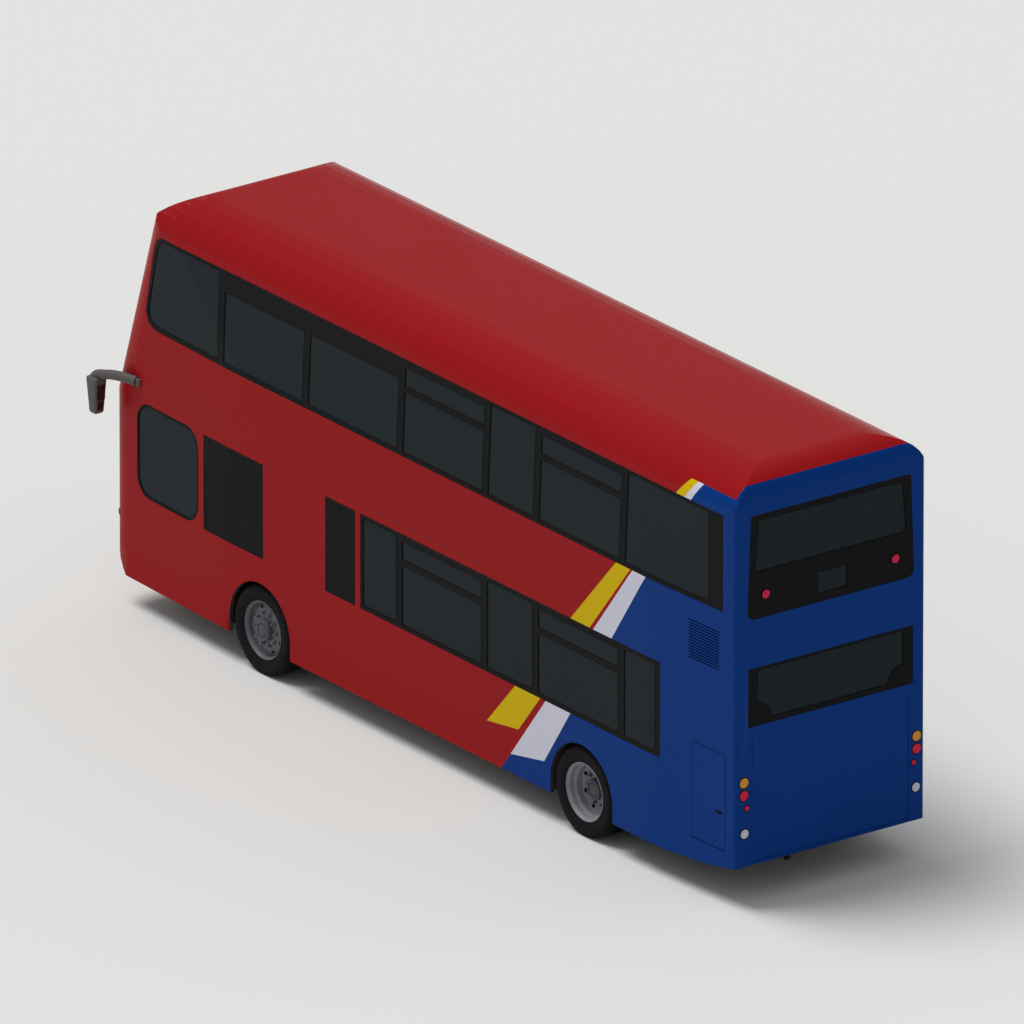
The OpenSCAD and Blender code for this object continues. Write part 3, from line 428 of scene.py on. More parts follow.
def spun(profile, steps=64):
    """A profile of (radius, place along the axis) spun round the Y axis and closed."""
    bm = bmesh.new()
    points = [bm.verts.new((radius, along, 0)) for radius, along in profile]
    edges = [bm.edges.new(pair) for pair in zip(points, points[1:])]
    bmesh.ops.spin(bm, geom=points + edges, cent=(0, 0, 0), axis=(0, 1, 0), angle=math.tau,
                   steps=steps, use_merge=True)
    bmesh.ops.remove_doubles(bm, verts=bm.verts, dist=1e-5)
    bmesh.ops.recalc_face_normals(bm, faces=bm.faces)
    return bm


def evaluated(holder):
    """A new mesh with every modifier of an object carried out."""
    graph = bpy.context.evaluated_depsgraph_get()
    return bpy.data.meshes.new_from_object(holder.evaluated_get(graph))


def pipe(points, radius, sides=8, closed=False, smooth=True):
    """A round tube along a line of points, as a bmesh."""
    curve = bpy.data.curves.new("pipe", "CURVE")
    curve.dimensions = "3D"
    curve.bevel_depth = radius
    curve.bevel_resolution = max(sides // 4, 1)
    curve.use_fill_caps = not closed
    spline = curve.splines.new("BEZIER" if smooth else "POLY")
    if smooth:
        spline.bezier_points.add(len(points) - 1)
        for knot, point in zip(spline.bezier_points, points):
            knot.co = point
            knot.handle_left_type = knot.handle_right_type = "AUTO"
        spline.resolution_u = 8
    else:
        spline.points.add(len(points) - 1)
        for knot, point in zip(spline.points, points):
            knot.co = (*point, 1)
    spline.use_cyclic_u = closed
    holder = linked("pipe", curve)
    mesh = evaluated(holder)
    bm = bmesh.new()
    bm.from_mesh(mesh)
    bmesh.ops.remove_doubles(bm, verts=bm.verts, dist=1e-6)
    bpy.data.objects.remove(holder)
    bpy.data.meshes.remove(mesh)
    bpy.data.curves.remove(curve)
    return bm


def merged_copy(node):
    """A copy of a CAD node's mesh with its loose triangles joined."""
    bm = bmesh.new()
    bm.from_mesh(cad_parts[node].data)
    bmesh.ops.remove_doubles(bm, verts=bm.verts, dist=1e-6)
    return bm


def islands(bm):
    """The separate solids of a bmesh, each as (faces, lowest corner, highest corner)."""
    left, found = set(bm.faces), []
    while left:
        first = left.pop()
        group, edge_of_work = [first], [first]
        while edge_of_work:
            face = edge_of_work.pop()
            for edge in face.edges:
                for other in edge.link_faces:
                    if other in left:
                        left.remove(other)
                        group.append(other)
                        edge_of_work.append(other)
        corners = [v.co for face in group for v in face.verts]
        low = Vector([min(c[i] for c in corners) for i in range(3)])
        high = Vector([max(c[i] for c in corners) for i in range(3)])
        found.append((group, low, high))
    return sorted(found, key=lambda item: tuple(round(v, 4) for v in item[1]))


def solids(node):
    """The lowest and highest corners of each separate solid in a CAD node."""
    bm = merged_copy(node)
    boxes = [(low, high) for _, low, high in islands(bm)]
    bm.free()
    return boxes


def ring_of(part, count, radius):
    """Copies of a bmesh in a ring round the Y axis."""
    whole = bmesh.new()
    for i in range(count):
        turn = turned(math.tau * i / count, "Y")
        pour(whole, part.copy(), turn @ at(radius, 0, 0))
    part.free()
    return whole


print("rear lamps found:", len(solids("rear_lamps")))

# %% [markdown]
# ## Body panels
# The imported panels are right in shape, but their triangles are loose and shade as facets. A
# copy of each is welded, shaded smooth with sharp edges kept, and given weighted normals, so
# that broad flat panels stay flat and only the rolled edges turn. The livery is one material
# for all of them, so the stripes run over the joints without a step.

# %% Smooth body panels
def smooth_panel(node, material, body="body", crease=32, keep=None, name=None):
    """A welded, weighted copy of a CAD node, or of the solids in it that keep() picks."""
    bm = merged_copy(node)
    if keep:
        for faces, low, high in islands(bm):
            if not keep(low, high):
                bmesh.ops.delete(bm, geom=faces, context="FACES")
    made = finish_piece(name or node + "_panel", bm, material, body, (node,), crease)
    made.modifiers.new("even", "WEIGHTED_NORMAL").keep_sharp = True
    return made


for node in ("left_upper_side", "right_upper_side", "roof", "front_lower_panel",
             "front_upper_panel", "front_bumper"):
    smooth_panel(node, livery)
ARCH_R = 0.506            # the wheel arches cut in the sides
ARCH_TOP = 1.0            # nothing above this height belongs to an arch
SLACK = 5 * MM
axle_places = [(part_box(node)[0].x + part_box(node)[1].x) / 2
               for node in ("front_left_tyre", "rear_left_tyres")]
lined = 0
for node in ("left_lower_side", "right_lower_side"):
    side = smooth_panel(node, livery)
    side.data.materials.append(arch_board)
    skirt_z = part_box(node)[0].z
    for face in side.data.polygons:
        reach = min(abs(face.center.x - x) for x in axle_places)
        if (abs(face.normal.y) < 0.5 and reach < ARCH_R + SLACK
                and skirt_z + SLACK < face.center.z < ARCH_TOP):
            face.material_index = 1
            lined += 1
print("faces lined inside the arches:", lined)
smooth_panel("rear_panel", livery)
smooth_panel("engine_lid", livery, "engine_lid")
smooth_panel("service_door", livery, "service_door")
for node in ("upper_window_frames", "destination_display"):
    smooth_panel(node, black_band, crease=18)


INFILL_BEHIND_NOSE = (1.6, 4.2)


def is_infill(low, high):
    """True for the two blank panels ahead of the lower windows on the left."""
    near, far = INFILL_BEHIND_NOSE
    return low.y > 0 and x_nose - far < low.x and high.x < x_nose - near


smooth_panel("lower_window_frames", black_panel, keep=is_infill,
             name="infill_panels", crease=18)
smooth_panel("lower_window_frames", black_band, crease=18,
             keep=lambda low, high: not is_infill(low, high))
for node in ("lower_window_glass", "upper_window_glass"):
    smooth_panel(node, privacy_glass)
smooth_panel("windscreens", screen_glass)

# %% [markdown]
# ## Seals round every pane
# A bonded pane sits in a bead of black sealant, and a hopper window in a rubber gasket. The
# edge of each outer face is already in the frame: faces that look outwards are picked, and the
# edges at their border become the path of a thin tube. That follows every corner radius with no
# new measuring.

# %% Seals
OUTWARD = {"left": Vector((0, 1, 0)), "right": Vector((0, -1, 0)), "rear": Vector((-1, 0, 0)),
           "front": Vector((1, 0, 0))}
SIDE_Y = 0.9              # the outer skin of a side lies beyond this
TAIL_DEPTH, NOSE_DEPTH = 0.2, 1.4


def faces_outward(centre, side):
    """True on the outer part of the bus that a side looks out of."""
    limits = {"left": centre.y > SIDE_Y, "right": centre.y < -SIDE_Y,
              "rear": centre.x < x_tail + TAIL_DEPTH, "front": centre.x > x_nose - NOSE_DEPTH}
    return limits[side]


def seal_bead(node, side, radius, bm):
    """Pours a tube along the border of a node's outward faces into a bmesh."""
    source = merged_copy(node)
    outer = {f for f in source.faces if f.normal.dot(OUTWARD[side]) > 0.8
             and faces_outward(f.calc_center_median(), side)}
    left = {e for e in source.edges if sum(f in outer for f in e.link_faces) == 1}
    while left:
        edge = left.pop()
        path = [edge.verts[0], edge.verts[1]]
        while True:
            step = next((e for e in path[-1].link_edges if e in left), None)
            if step is None:
                break
            left.remove(step)
            path.append(step.other_vert(path[-1]))
        closed = path[0] == path[-1]
        points = [v.co.copy() for v in (path[:-1] if closed else path)]
        if len(points) > 2:
            pour(bm, pipe(points, radius, 6, closed, smooth=False))
    source.free()


def beads(nodes, sides, radius_mm, bm=None):
    """One bmesh with a bead round every outward face of some nodes."""
    bm = bmesh.new() if bm is None else bm
    for node in nodes:
        for side in sides:
            seal_bead(node, side, radius_mm * MM, bm)
    return bm


ROUND = ("left", "right", "rear")
panes = beads(("lower_window_glass", "upper_window_glass"), ROUND, 4.5)
beads(("windscreens",), ("front",), 6, panes)
bead_count = len(panes.verts)
finish_piece("pane_seals", panes, gasket, crease=60)
edging = beads(("lower_window_frames", "upper_window_frames"), ROUND, 2.5)
beads(("destination_display",), ("front",), 3, edging)
finish_piece("band_edging", edging, gasket, crease=60)
door_seal = beads(("service_door",), ("left",), 3)
# the seal stops short of the hinge, where the door folds back over the side
HINGE_CLEAR = 0.02
whole = door_seal.verts[:] + door_seal.edges[:] + door_seal.faces[:]
cut_at = (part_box("service_door")[1].x - HINGE_CLEAR, 0, 0)
ends = bmesh.ops.bisect_plane(door_seal, geom=whole, plane_no=(1, 0, 0), clear_outer=True,
                              plane_co=cut_at)["geom_cut"]
bmesh.ops.edgeloop_fill(door_seal, edges=[e for e in ends if isinstance(e, bmesh.types.BMEdge)])
finish_piece("service_door_seal", door_seal, gasket, "service_door", crease=60)
print("seal vertices:", bead_count)

# %% [markdown]
# ## Camera
# A view with almost no perspective comes from a very long lens far away. A camera's own axes are
# its right, its up and its back, so three unit vectors from two angles turn it, with no Euler
# angles to juggle. A long perspective lens is kept instead of an orthographic camera so that
# any other view of the bus can be framed by distance alone.

# %% Camera
AZIMUTH, ELEVATION = math.radians(53.59), math.radians(21.48)
LENS, SENSOR, FRAME_HEIGHT = 1600, 36, 10.039
AIM_RIGHT, AIM_UP, AIM_HEIGHT, AIM_X = -0.0457, 2.1147, 2.24, -0.086
right = Vector((-math.cos(AZIMUTH), -math.sin(AZIMUTH), 0))
back = Vector((-math.sin(AZIMUTH) * math.cos(ELEVATION),
               math.cos(AZIMUTH) * math.cos(ELEVATION), math.sin(ELEVATION)))
up = back.cross(right)
distance = FRAME_HEIGHT * LENS / SENSOR
aim = (right * AIM_RIGHT + up * AIM_UP + back * AIM_HEIGHT * math.sin(ELEVATION)
       + Vector((AIM_X, 0, 0)))
lens_data = bpy.data.cameras.new("camera")
lens_data.lens = LENS
lens_data.sensor_width = SENSOR
lens_data.clip_end = 2000
camera = linked("camera", lens_data)
camera.matrix_world = (Matrix.Translation(aim + back * distance)
                       @ Matrix((right, up, back)).transposed().to_4x4())
bpy.context.scene.camera = camera
print(f"camera {distance:.0f} m away")

# %% [markdown]
# ## Floor and light
# A big soft sun and an even sky light the bus as an overcast yard would: the roof brightest, the
# left side a little less and the tail in shade. A pale floor throws a good part of that light
# back up under the skirts, so no lamp is needed below.

# %% Floor, sun and sky
ground = bmesh.new()
bmesh.ops.create_grid(ground, x_segments=1, y_segments=1, size=300)
mesh = bpy.data.meshes.new("floor")
ground.to_mesh(mesh)
ground.free()
floor = linked("floor", mesh)
floor_paint, tree, shader, place = begin("pale_sealed_floor", "#E2E2E0", Roughness=0.9,
                                         Specular_IOR_Level=0.1)
mesh.materials.append(floor_paint)
floor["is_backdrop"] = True
sun_data = bpy.data.lights.new("sun", "SUN")
sun_data.energy = 2.0
sun_data.angle = math.radians(30)
sun = linked("sun", sun_data)
sun.rotation_mode = "QUATERNION"
sun.rotation_quaternion = Vector((0.3, 0.22, 0.93)).to_track_quat("Z", "Y")
world = bpy.data.worlds.new("sky")
bpy.context.scene.world = world
world.use_nodes = True
tree = world.node_tree
tree.nodes.clear()
sky = add_node(tree, "ShaderNodeBackground", {"Color": linear("#FFFFFF"), "Strength": 0.42})
add_node(tree, "ShaderNodeOutputWorld", {"Surface": sky.outputs["Background"]})
bpy.context.scene.view_settings.view_transform = "Standard"

# %% [markdown]
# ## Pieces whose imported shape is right
# Rails, axles, floors and stairs are folded and cast in plain shapes, and the frame has those
# already. They keep their own meshes and only take a surface.

# %% Surfaces for the plain structure
SURFACES = {"chassis_frame": chassis_wax, "front_axle": axle_iron, "rear_axle": axle_iron,
            "left_knuckle": axle_iron, "right_knuckle": axle_iron, "lower_floor": floor_pvc,
            "upper_floor": floor_pvc, "staircase": floor_pvc, "driver_cab": cab_abs}
for node, surface in SURFACES.items():
    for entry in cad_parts[node].material_slots:
        entry.material = surface
smooth_panel("handrails", pole_powder, crease=40)
smooth_panel("steering_wheel", wheel_foam, "steering_wheel", crease=40)
print("plain nodes surfaced:", len(SURFACES))

# %% [markdown]
# ## Entrance doors
# Each leaf is an aluminium frame, powder-coated black, with one bonded pane. In the frame it is a
# single solid, so the faces that lie inside the pane's outline are found by place and direction
# and given glass, and the rest stays black.

# %% Door leaves
LEAF_BORDER, LEAF_FOOT, LEAF_HEAD, POST = 0.06, 0.16, 0.07, 0.012
FOOT_GAP = 0.008          # between the leaf and the foot of its hinge post
HEAD_ABOVE_SILL = 1.04    # from the window sill to the head of the doorway


def door_leaf(node, post_ahead):
    """A leaf with glass on the faces inside its pane; gives its ends along the bus."""
    low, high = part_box(node)
    leaf_x = (low.x, high.x - POST) if post_ahead else (low.x + POST, high.x)
    pane_x = (leaf_x[0] + LEAF_BORDER - MM, leaf_x[1] - LEAF_BORDER + MM)
    foot = low.z + FOOT_GAP + LEAF_FOOT - MM
    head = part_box("lower_window_frames")[0].z + HEAD_ABOVE_SILL - LEAF_HEAD + MM
    bm = merged_copy(node)
    for face in bm.faces:
        corners = [v.co for v in face.verts]
        inside = all(pane_x[0] < c.x < pane_x[1] and foot < c.z < head for c in corners)
        if inside and abs(face.normal.y) > 0.8:
            face.material_index = 1
    made = finish_piece(node + "_leaf", bm, black_panel, node, (node,))
    made.data.materials.append(screen_glass)
    return leaf_x


leaf_spans = [door_leaf("front_door_leaf", True), door_leaf("rear_door_leaf", False)]
print("door leaves span", [[round(v, 3) for v in span] for span in leaf_spans])

# %% [markdown]
# ## Tyres
# A bus tyre is one moulded ring: a bead on the rim, a bulging wall with fine ribs, and a tread of
# five ribs parted by four grooves. The profile is drawn once and spun. Shallow pockets pressed
# into the shoulder faces stand for the shoulder lugs, which is lighter than cutting each slot.

# %% Tyres
TREAD_R, BEAD_R, HALF_WIDTH = 0.466, 0.3012, 0.1375
GROOVE_WIDTH, GROOVE_DEPTH = 0.011, 0.013
SHOULDER, SHOULDER_DEPTH = (0.114, 0.13), 0.03
TYRE_STEPS = 96


def step_of(middle, steps):
    """Which of the steps of a spun shape a face belongs to."""
    return round(math.atan2(middle.z, middle.x) * steps / math.tau - 0.5)


def tyre_profile():
    """One wall from the bead out, then the tread's grooves, then the other wall."""
    wall = [(BEAD_R, 0.112), (BEAD_R + 0.016, 0.119), (BEAD_R + 0.03, 0.119),
            (BEAD_R + 0.034, 0.126), (BEAD_R + 0.04, 0.126), (BEAD_R + 0.06, 0.133),
            (BEAD_R + 0.082, HALF_WIDTH), (BEAD_R + 0.09, HALF_WIDTH - 0.0015),
            (BEAD_R + 0.098, HALF_WIDTH), (BEAD_R + 0.115, 0.1365), (BEAD_R + 0.132, 0.133),
            (TREAD_R - 0.012, 0.124), (TREAD_R - 0.002, 0.112)]
    tread = []
    for centre in (0.075, 0.026, -0.026, -0.075):
        outer, inner = centre + GROOVE_WIDTH / 2, centre - GROOVE_WIDTH / 2
        tread += [(TREAD_R, outer), (TREAD_R - GROOVE_DEPTH, outer - 0.002),
                  (TREAD_R - GROOVE_DEPTH, inner + 0.002), (TREAD_R, inner)]
    other = [(radius, -along) for radius, along in reversed(wall)]
    return wall + tread + other


def tyre(bm, x, y):
    """Pours in one tyre, with a pocket in every second face of its shoulders."""
    ring = spun(tyre_profile(), TYRE_STEPS)
    pockets = []
    for face in ring.faces:
        middle = face.calc_center_median()
        on_shoulder = (SHOULDER[0] < abs(middle.y) < SHOULDER[1]
                       and math.hypot(middle.x, middle.z) > TREAD_R - SHOULDER_DEPTH)
        if on_shoulder and step_of(middle, TYRE_STEPS) % 2 == 0:
            pockets.append(face)
    bmesh.ops.inset_individual(ring, faces=pockets, thickness=0.002, depth=-0.005)
    pour(bm, ring, at(x, y, TREAD_R))


for name in ("front_left", "front_right", "rear_left", "rear_right"):
    node = name + ("_tyre" if "front" in name else "_tyres")
    bm = bmesh.new()
    for low, high in solids(node):
        tyre(bm, (low.x + high.x) / 2, (low.y + high.y) / 2)
    body = name + ("_wheel" if "front" in name else "_wheels")
    made = finish_piece(node + "_rubber", bm, tyre_rubber, body, (node,), 28)
print("tyre triangles", sum(len(p.vertices) - 2 for p in made.data.polygons))

# %% [markdown]
# ## Wheels
# A disc wheel is a rolled rim with a pressed disc welded in. Hand holes are punched between the
# rim and the bolt circle. Here the disc is spun as a thin surface, a patch of faces is taken
# out for each hole, a subdivision rounds the patches and a solidify gives the steel its gauge.

# %% Rims, discs, hubs and nuts
STUD_CIRCLE, STUDS, HOLES = 0.1675, 10, 8
RIM_R = 0.3005
DISC_STEPS = 64
BOLT_FACE = (0.205, 0.19, 0.14, 0.1)
INNER_DISH = 0.11         # the inner wheel of a pair is turned to dish the other way


def rim_ring():
    """A rolled rim with curled flanges, bead seats and a drop well."""
    outer = [(RIM_R, 0.1175), (RIM_R, 0.108), (RIM_R - 0.006, 0.1), (RIM_R - 0.014, 0.094),
             (RIM_R - 0.016, 0.04), (RIM_R - 0.036, 0.02), (RIM_R - 0.036, -0.03),
             (RIM_R - 0.016, -0.05), (RIM_R - 0.014, -0.094), (RIM_R - 0.006, -0.1),
             (RIM_R, -0.108), (RIM_R, -0.1175), (RIM_R - 0.007, -0.1175)]
    inner = [(RIM_R - 0.014, -0.104), (RIM_R - 0.024, -0.09), (RIM_R - 0.026, -0.052),
             (RIM_R - 0.046, -0.034), (RIM_R - 0.046, 0.024), (RIM_R - 0.026, 0.044),
             (RIM_R - 0.024, 0.09), (RIM_R - 0.014, 0.104), (RIM_R - 0.007, 0.1175),
             (RIM_R, 0.1175)]
    return spun(outer + inner, 96)


def pressed_disc(dish):
    """The disc: a cone from the rim up to the bolt face, with its hand holes."""
    rise = math.copysign(0.05, dish)
    seat = RIM_R - 0.03
    cone = [(0, 0.7), (0.008, 0.5), (0.02, 0.3), (0.037, 0.12), (0.054, 0)]
    bm = spun([(seat - inward, dish - share * rise) for inward, share in cone]
              + [(radius, dish) for radius in BOLT_FACE], DISC_STEPS)
    holes = []
    for face in bm.faces:
        middle = face.calc_center_median()
        on_cone = seat - 0.054 < math.hypot(middle.x, middle.z) < seat - 0.02
        if on_cone and step_of(middle, DISC_STEPS) % (DISC_STEPS // HOLES) in (3, 4):
            holes.append(face)
    bmesh.ops.delete(bm, geom=holes, context="FACES")
    return bm


def hub(dish, out):
    """Bearing hub: a drum, a stepped flange and a domed grease cap."""
    root = min(dish - 0.06, out - 0.04)
    return spun([(0.001, root), (0.109, root), (0.109, out - 0.02), (0.105, out - 0.006),
                 (0.098, out - 0.001), (0.076, out - 0.002), (0.074, out - 0.012),
                 (0.066, out - 0.012), (0.062, out - 0.004), (0.045, out - 0.0015),
                 (0.02, out - 0.0005), (0.001, out)], 48)


def wheel_nut(dish):
    """A hexagon nut with its washer flange, on the end of its stud."""
    bm = bmesh.new()
    for sides, radius, low, high in ((24, 0.0225, 0.008, 0.012), (6, 0.0185, 0.012, 0.032),
                                     (16, 0.0105, 0.03, 0.052)):
        part = bmesh.new()
        bmesh.ops.create_cone(part, cap_ends=True, segments=sides, radius1=radius,
                              radius2=radius * 0.96, depth=high - low)
        turn = turned(-math.pi / 2, "X")
        pour(bm, part, at(0, dish + (low + high) / 2, 0) @ turn)
    return bm


def placed(bm, part, x, y, outward):
    """Pours a wheel part in at an axle's end, facing out to the left or the right."""
    flip = Matrix.Identity(4) if outward > 0 else turned(math.pi, "Z")
    pour(bm, part, at(x, y, TREAD_R) @ flip)


for name, dish, out in (("front_left", 0.06, 0.128), ("front_right", 0.06, 0.128),
                        ("rear_left", -0.07, 0.02), ("rear_right", -0.07, 0.02)):
    outward = 1 if "left" in name else -1
    body = name + ("_wheel" if "front" in name else "_wheels")
    rings = [((low.x + high.x) / 2, (low.y + high.y) / 2)
             for low, high in solids(body.replace("wheel", "tyre"))]
    rings.sort(key=lambda spot: -abs(spot[1]))
    x, y = rings[0]
    steel, discs, iron, nuts = bmesh.new(), bmesh.new(), bmesh.new(), bmesh.new()
    for place_x, place_y in rings:
        placed(steel, rim_ring(), place_x, place_y, outward)
    placed(discs, pressed_disc(dish), x, y, outward)
    if len(rings) > 1:
        placed(discs, pressed_disc(INNER_DISH), *rings[1], outward)
    placed(iron, hub(dish, out), x, y, outward)
    placed(nuts, ring_of(wheel_nut(dish), STUDS, STUD_CIRCLE), x, y, outward)
    # the rear wheels take the lighter grey, painted light against the shade in their deep dish
    paint = wheel_enamel if "front" in name else rear_wheel_grey_lightened_for_shade
    finish_piece(body + "_rim", steel, paint, body, (body,))
    plate = finish_piece(body + "_disc", discs, paint, body, (body,), 60)
    rounding = plate.modifiers.new("round", "SUBSURF")
    rounding.levels = rounding.render_levels = 1
    gauge = plate.modifiers.new("gauge", "SOLIDIFY")
    gauge.thickness = 0.012
    gauge.offset = 0
    finish_piece(body + "_hub", iron, hub_iron, body, (body,))
    finish_piece(body + "_nuts", nuts, nut_zinc, body, (body,))

# %% [markdown]
# ## Rear arch liners
# A bowed glass-fibre liner closes each rear arch above the twin tyres and keeps spray off the
# body. One edge spun half a turn makes the bow, its two ends are drawn down to the skirt, and a
# wall thickness is added last. The front arches stay open, because the wheels steer there.

# %% Liners over the twin wheels
LINER_R, LINER_OUT, LINER_IN, LINER_DROP = ARCH_R + 8 * MM, 1.166, 0.62, 0.14


def arch_liner(axle_x, side):
    """One bow over the twin tyres of a side."""
    bm = bmesh.new()
    ends = [bm.verts.new((axle_x + LINER_R, side * y, TREAD_R)) for y in (LINER_OUT, LINER_IN)]
    first = bm.edges.new(ends)
    bow = bmesh.ops.spin(bm, geom=[*ends, first], cent=(axle_x, 0, TREAD_R), axis=(0, 1, 0),
                         angle=-math.pi, steps=32)
    last = [e for e in bow["geom_last"] if isinstance(e, bmesh.types.BMEdge)]
    for edge in [first] + last:
        grown = bmesh.ops.extrude_edge_only(bm, edges=[edge])["geom"]
        moved = [v for v in grown if isinstance(v, bmesh.types.BMVert)]
        bmesh.ops.translate(bm, verts=moved, vec=(0, 0, -LINER_DROP))
    bmesh.ops.recalc_face_normals(bm, faces=bm.faces)
    bmesh.ops.solidify(bm, geom=bm.faces, thickness=3 * MM)
    return bm


liners = bmesh.new()
for side in (1, -1):
    pour(liners, arch_liner(axle_places[1], side))
bmesh.ops.recalc_face_normals(liners, faces=liners.faces)
finish_piece("rear_arch_liners", liners, arch_board, crease=30)
print("liner radius", round(LINER_R, 3))

# %% [markdown]
# ## Lamps
# A rear lamp is a round lens clipped into a dark rubber bezel, with rings of prisms that show as
# steps. The frame gives each lamp's middle and radius, and one spun profile fits them all. Which
# lens is amber, red or clear follows from its height in the cluster.

# %% Rear lamps and headlamps
def rear_lens(radius, stand):
    """A lens with two shallow steps and a crowned middle, reaching as far out as the lamp may."""
    return spun([(radius, -0.03), (radius, stand - 0.004), (radius - 0.003, stand - 0.002),
                 (radius * 0.72, stand - 0.002), (radius * 0.7, stand - 0.003),
                 (radius * 0.42, stand - 0.001), (radius * 0.4, stand - 0.002),
                 (radius * 0.2, stand), (0.0005, stand)], 40)


def bezel(radius):
    """The raised rubber ring round a lens."""
    return spun([(radius - 0.001, 0.0005), (radius - 0.001, 0.004), (radius + 0.003, 0.0055),
                 (radius + 0.008, 0.004), (radius + 0.01, 0.0005)], 40)


BRAKE_LAMP_Z, HIGH_LAMP_Z = (1.0, 1.25), 3.0
facing_back = turned(math.pi / 2, "Z")
lenses = {"amber_lamp": bmesh.new(), "red_lamp": bmesh.new(), "clear_lamp": bmesh.new()}
bezels = bmesh.new()
for low, high in solids("rear_lamps"):
    middle, radius = (low + high) / 2, (high.z - low.z) / 2
    if middle.z > HIGH_LAMP_Z or BRAKE_LAMP_Z[0] < middle.z < BRAKE_LAMP_Z[1]:
        colour = "red_lamp"
    else:
        colour = "amber_lamp" if middle.z > BRAKE_LAMP_Z[1] else "clear_lamp"
    spot = at(x_tail, middle.y, middle.z) @ facing_back
    pour(lenses[colour], rear_lens(radius, x_tail - low.x), spot)
    pour(bezels, bezel(radius), spot)
for kind, surface in (("amber_lamp", amber_lens), ("red_lamp", red_lens),
                      ("clear_lamp", clear_lens)):
    finish_piece("rear_" + kind + "s", lenses[kind], surface, "body", ("rear_lamps",), 50)
finish_piece("rear_lamp_bezels", bezels, gasket, crease=50)
smooth_panel("headlamps", clear_lens, crease=40)
rims = beads(("headlamps",), ("front",), 7)
finish_piece("headlamp_bezels", rims, gasket, crease=50)
print("rear lenses:", len(solids("rear_lamps")))

# %% [markdown]
# ## Mirrors
# A mirror arm is a stout moulded tube that leaves the corner of the roof line, swings forward and
# turns down into a moulded head. The arm is a smooth curve with a round bevel. The head starts
# as a cube whose foot is drawn in, and a bevel rounds every edge; two glasses sit in its rear
# face, a tall flat one and a small wide-angle one below it.

# %% Mirrors
MIRROR_LOW, MIRROR_HIGH, MIRROR_OUT, MIRROR_REACH = 1.976, 2.365, 1.3, 0.118
HEAD_DEPTH, HEAD_HALF = 0.175, 0.078
TAPER = (0.66, 0.74, 1)   # of the head's foot, in depth and in width
# Each glass: its top and its foot below the head's top, and half its width
GLASSES = ((-0.07, -0.24, 0.054), (-0.252, -0.345, 0.042))


def mirror_head(bm, glass):
    """Pours a head for the left side into one bmesh and its two glasses into another."""
    ahead = x_nose + MIRROR_REACH
    low = Vector((ahead - HEAD_DEPTH, MIRROR_OUT - HEAD_HALF, MIRROR_LOW))
    high = Vector((ahead, MIRROR_OUT + HEAD_HALF, MIRROR_HIGH))
    shell = rounded_box(low, high, 0)
    middle = (low + high) / 2
    foot = [v for v in shell.verts if v.co.z < middle.z]
    bmesh.ops.scale(shell, vec=TAPER, verts=foot, space=Matrix.Translation(-middle))
    soften(shell, 0.03, 4)
    pour(bm, shell)
    rake = math.atan2((1 - TAPER[0]) / 2 * HEAD_DEPTH, MIRROR_HIGH - MIRROR_LOW)
    lean = at(low.x, 0, MIRROR_HIGH) @ turned(-rake, "Y")
    for top, foot_z, half in GLASSES:
        pane = rounded_box((-0.0025, MIRROR_OUT - half, foot_z),
                           (0.004, MIRROR_OUT + half, top), 0.002, 1)
        pour(glass, pane, lean)


arm_path = [Vector((x_nose - 0.47, 1.175, 2.436)), Vector((x_nose - 0.3, 1.228, 2.444)),
            Vector((x_nose - 0.09, 1.275, 2.412)), Vector((x_nose + 0.06, MIRROR_OUT, 2.35)),
            Vector((x_nose + 0.073, MIRROR_OUT, 2.29))]
heads, glasses = bmesh.new(), bmesh.new()
for side in (1, -1):
    one, silver = bmesh.new(), bmesh.new()
    mirror_head(one, silver)
    pour(one, pipe(arm_path, 0.05, 16))
    pour(one, rounded_box((x_nose - 0.53, 1.15, 2.39), (x_nose - 0.4, 1.195, 2.47), 0.01))
    reflect = Matrix.Diagonal((1, side, 1, 1))
    pour(heads, one, reflect)
    pour(glasses, silver, reflect)
finish_piece("mirror_heads", heads, mirror_abs, "body", ("mirrors",), 45)
finish_piece("mirror_glasses", glasses, silvered)
print("mirrors reach", round(x_nose + MIRROR_REACH, 3))

# %% [markdown]
# ## Wipers
# Two pantograph arms rest on the screen. Each has a domed pivot nut, a tapered pressed arm, a
# bridge with two claws, and a thin rubber blade. All of it stays in the thickness that the frame
# gives them, 14 mm ahead of the panel.

# %% Wipers
WIPER_LEAN = math.radians(-32)
PIVOT_Z = 1.07
CAP_R = 0.022             # each wiper starts with its round pivot, this far in from its edge
facing_front = turned(-math.pi / 2, "Z")
arms, blades = bmesh.new(), bmesh.new()
for low, high in solids("wipers"):
    pivot_y = low.y + CAP_R
    swing = at(x_nose + 0.002, pivot_y, PIVOT_Z) @ turned(WIPER_LEAN, "X")
    arm = rounded_box((0.003, -0.011, -0.018), (0.012, 0.011, 0.535), 0)
    tip = [v for v in arm.verts if v.co.z > 0.5]
    bmesh.ops.scale(arm, vec=(0.7, 0.5, 1), verts=tip, space=at(-0.0075, 0, 0))
    soften(arm, 0.002)
    pour(arms, arm, swing)
    pour(arms, rounded_box((0.005, -0.005, 0.38), (0.0118, 0.005, 0.76), 0.002), swing)
    for claw in (0.3, 0.46, 0.68, 0.84):
        pour(arms, rounded_box((0.003, -0.0075, claw - 0.008), (0.0105, 0.0075, claw + 0.008),
                               0.0015), swing)
    cap = spun([(0.021, -0.06), (0.021, 0.008), (0.017, 0.013), (0.009, 0.0195),
                (0.0005, 0.0205)], 32)
    pour(arms, cap, at(x_nose, pivot_y, PIVOT_Z) @ facing_front)
    pour(blades, rounded_box((0.0022, -0.003, 0.252), (0.008, 0.003, 0.888), 0.001, 1), swing)
finish_piece("wiper_arms", arms, black_panel, "body", ("wipers",), 40)
finish_piece("wiper_blades", blades, gasket)
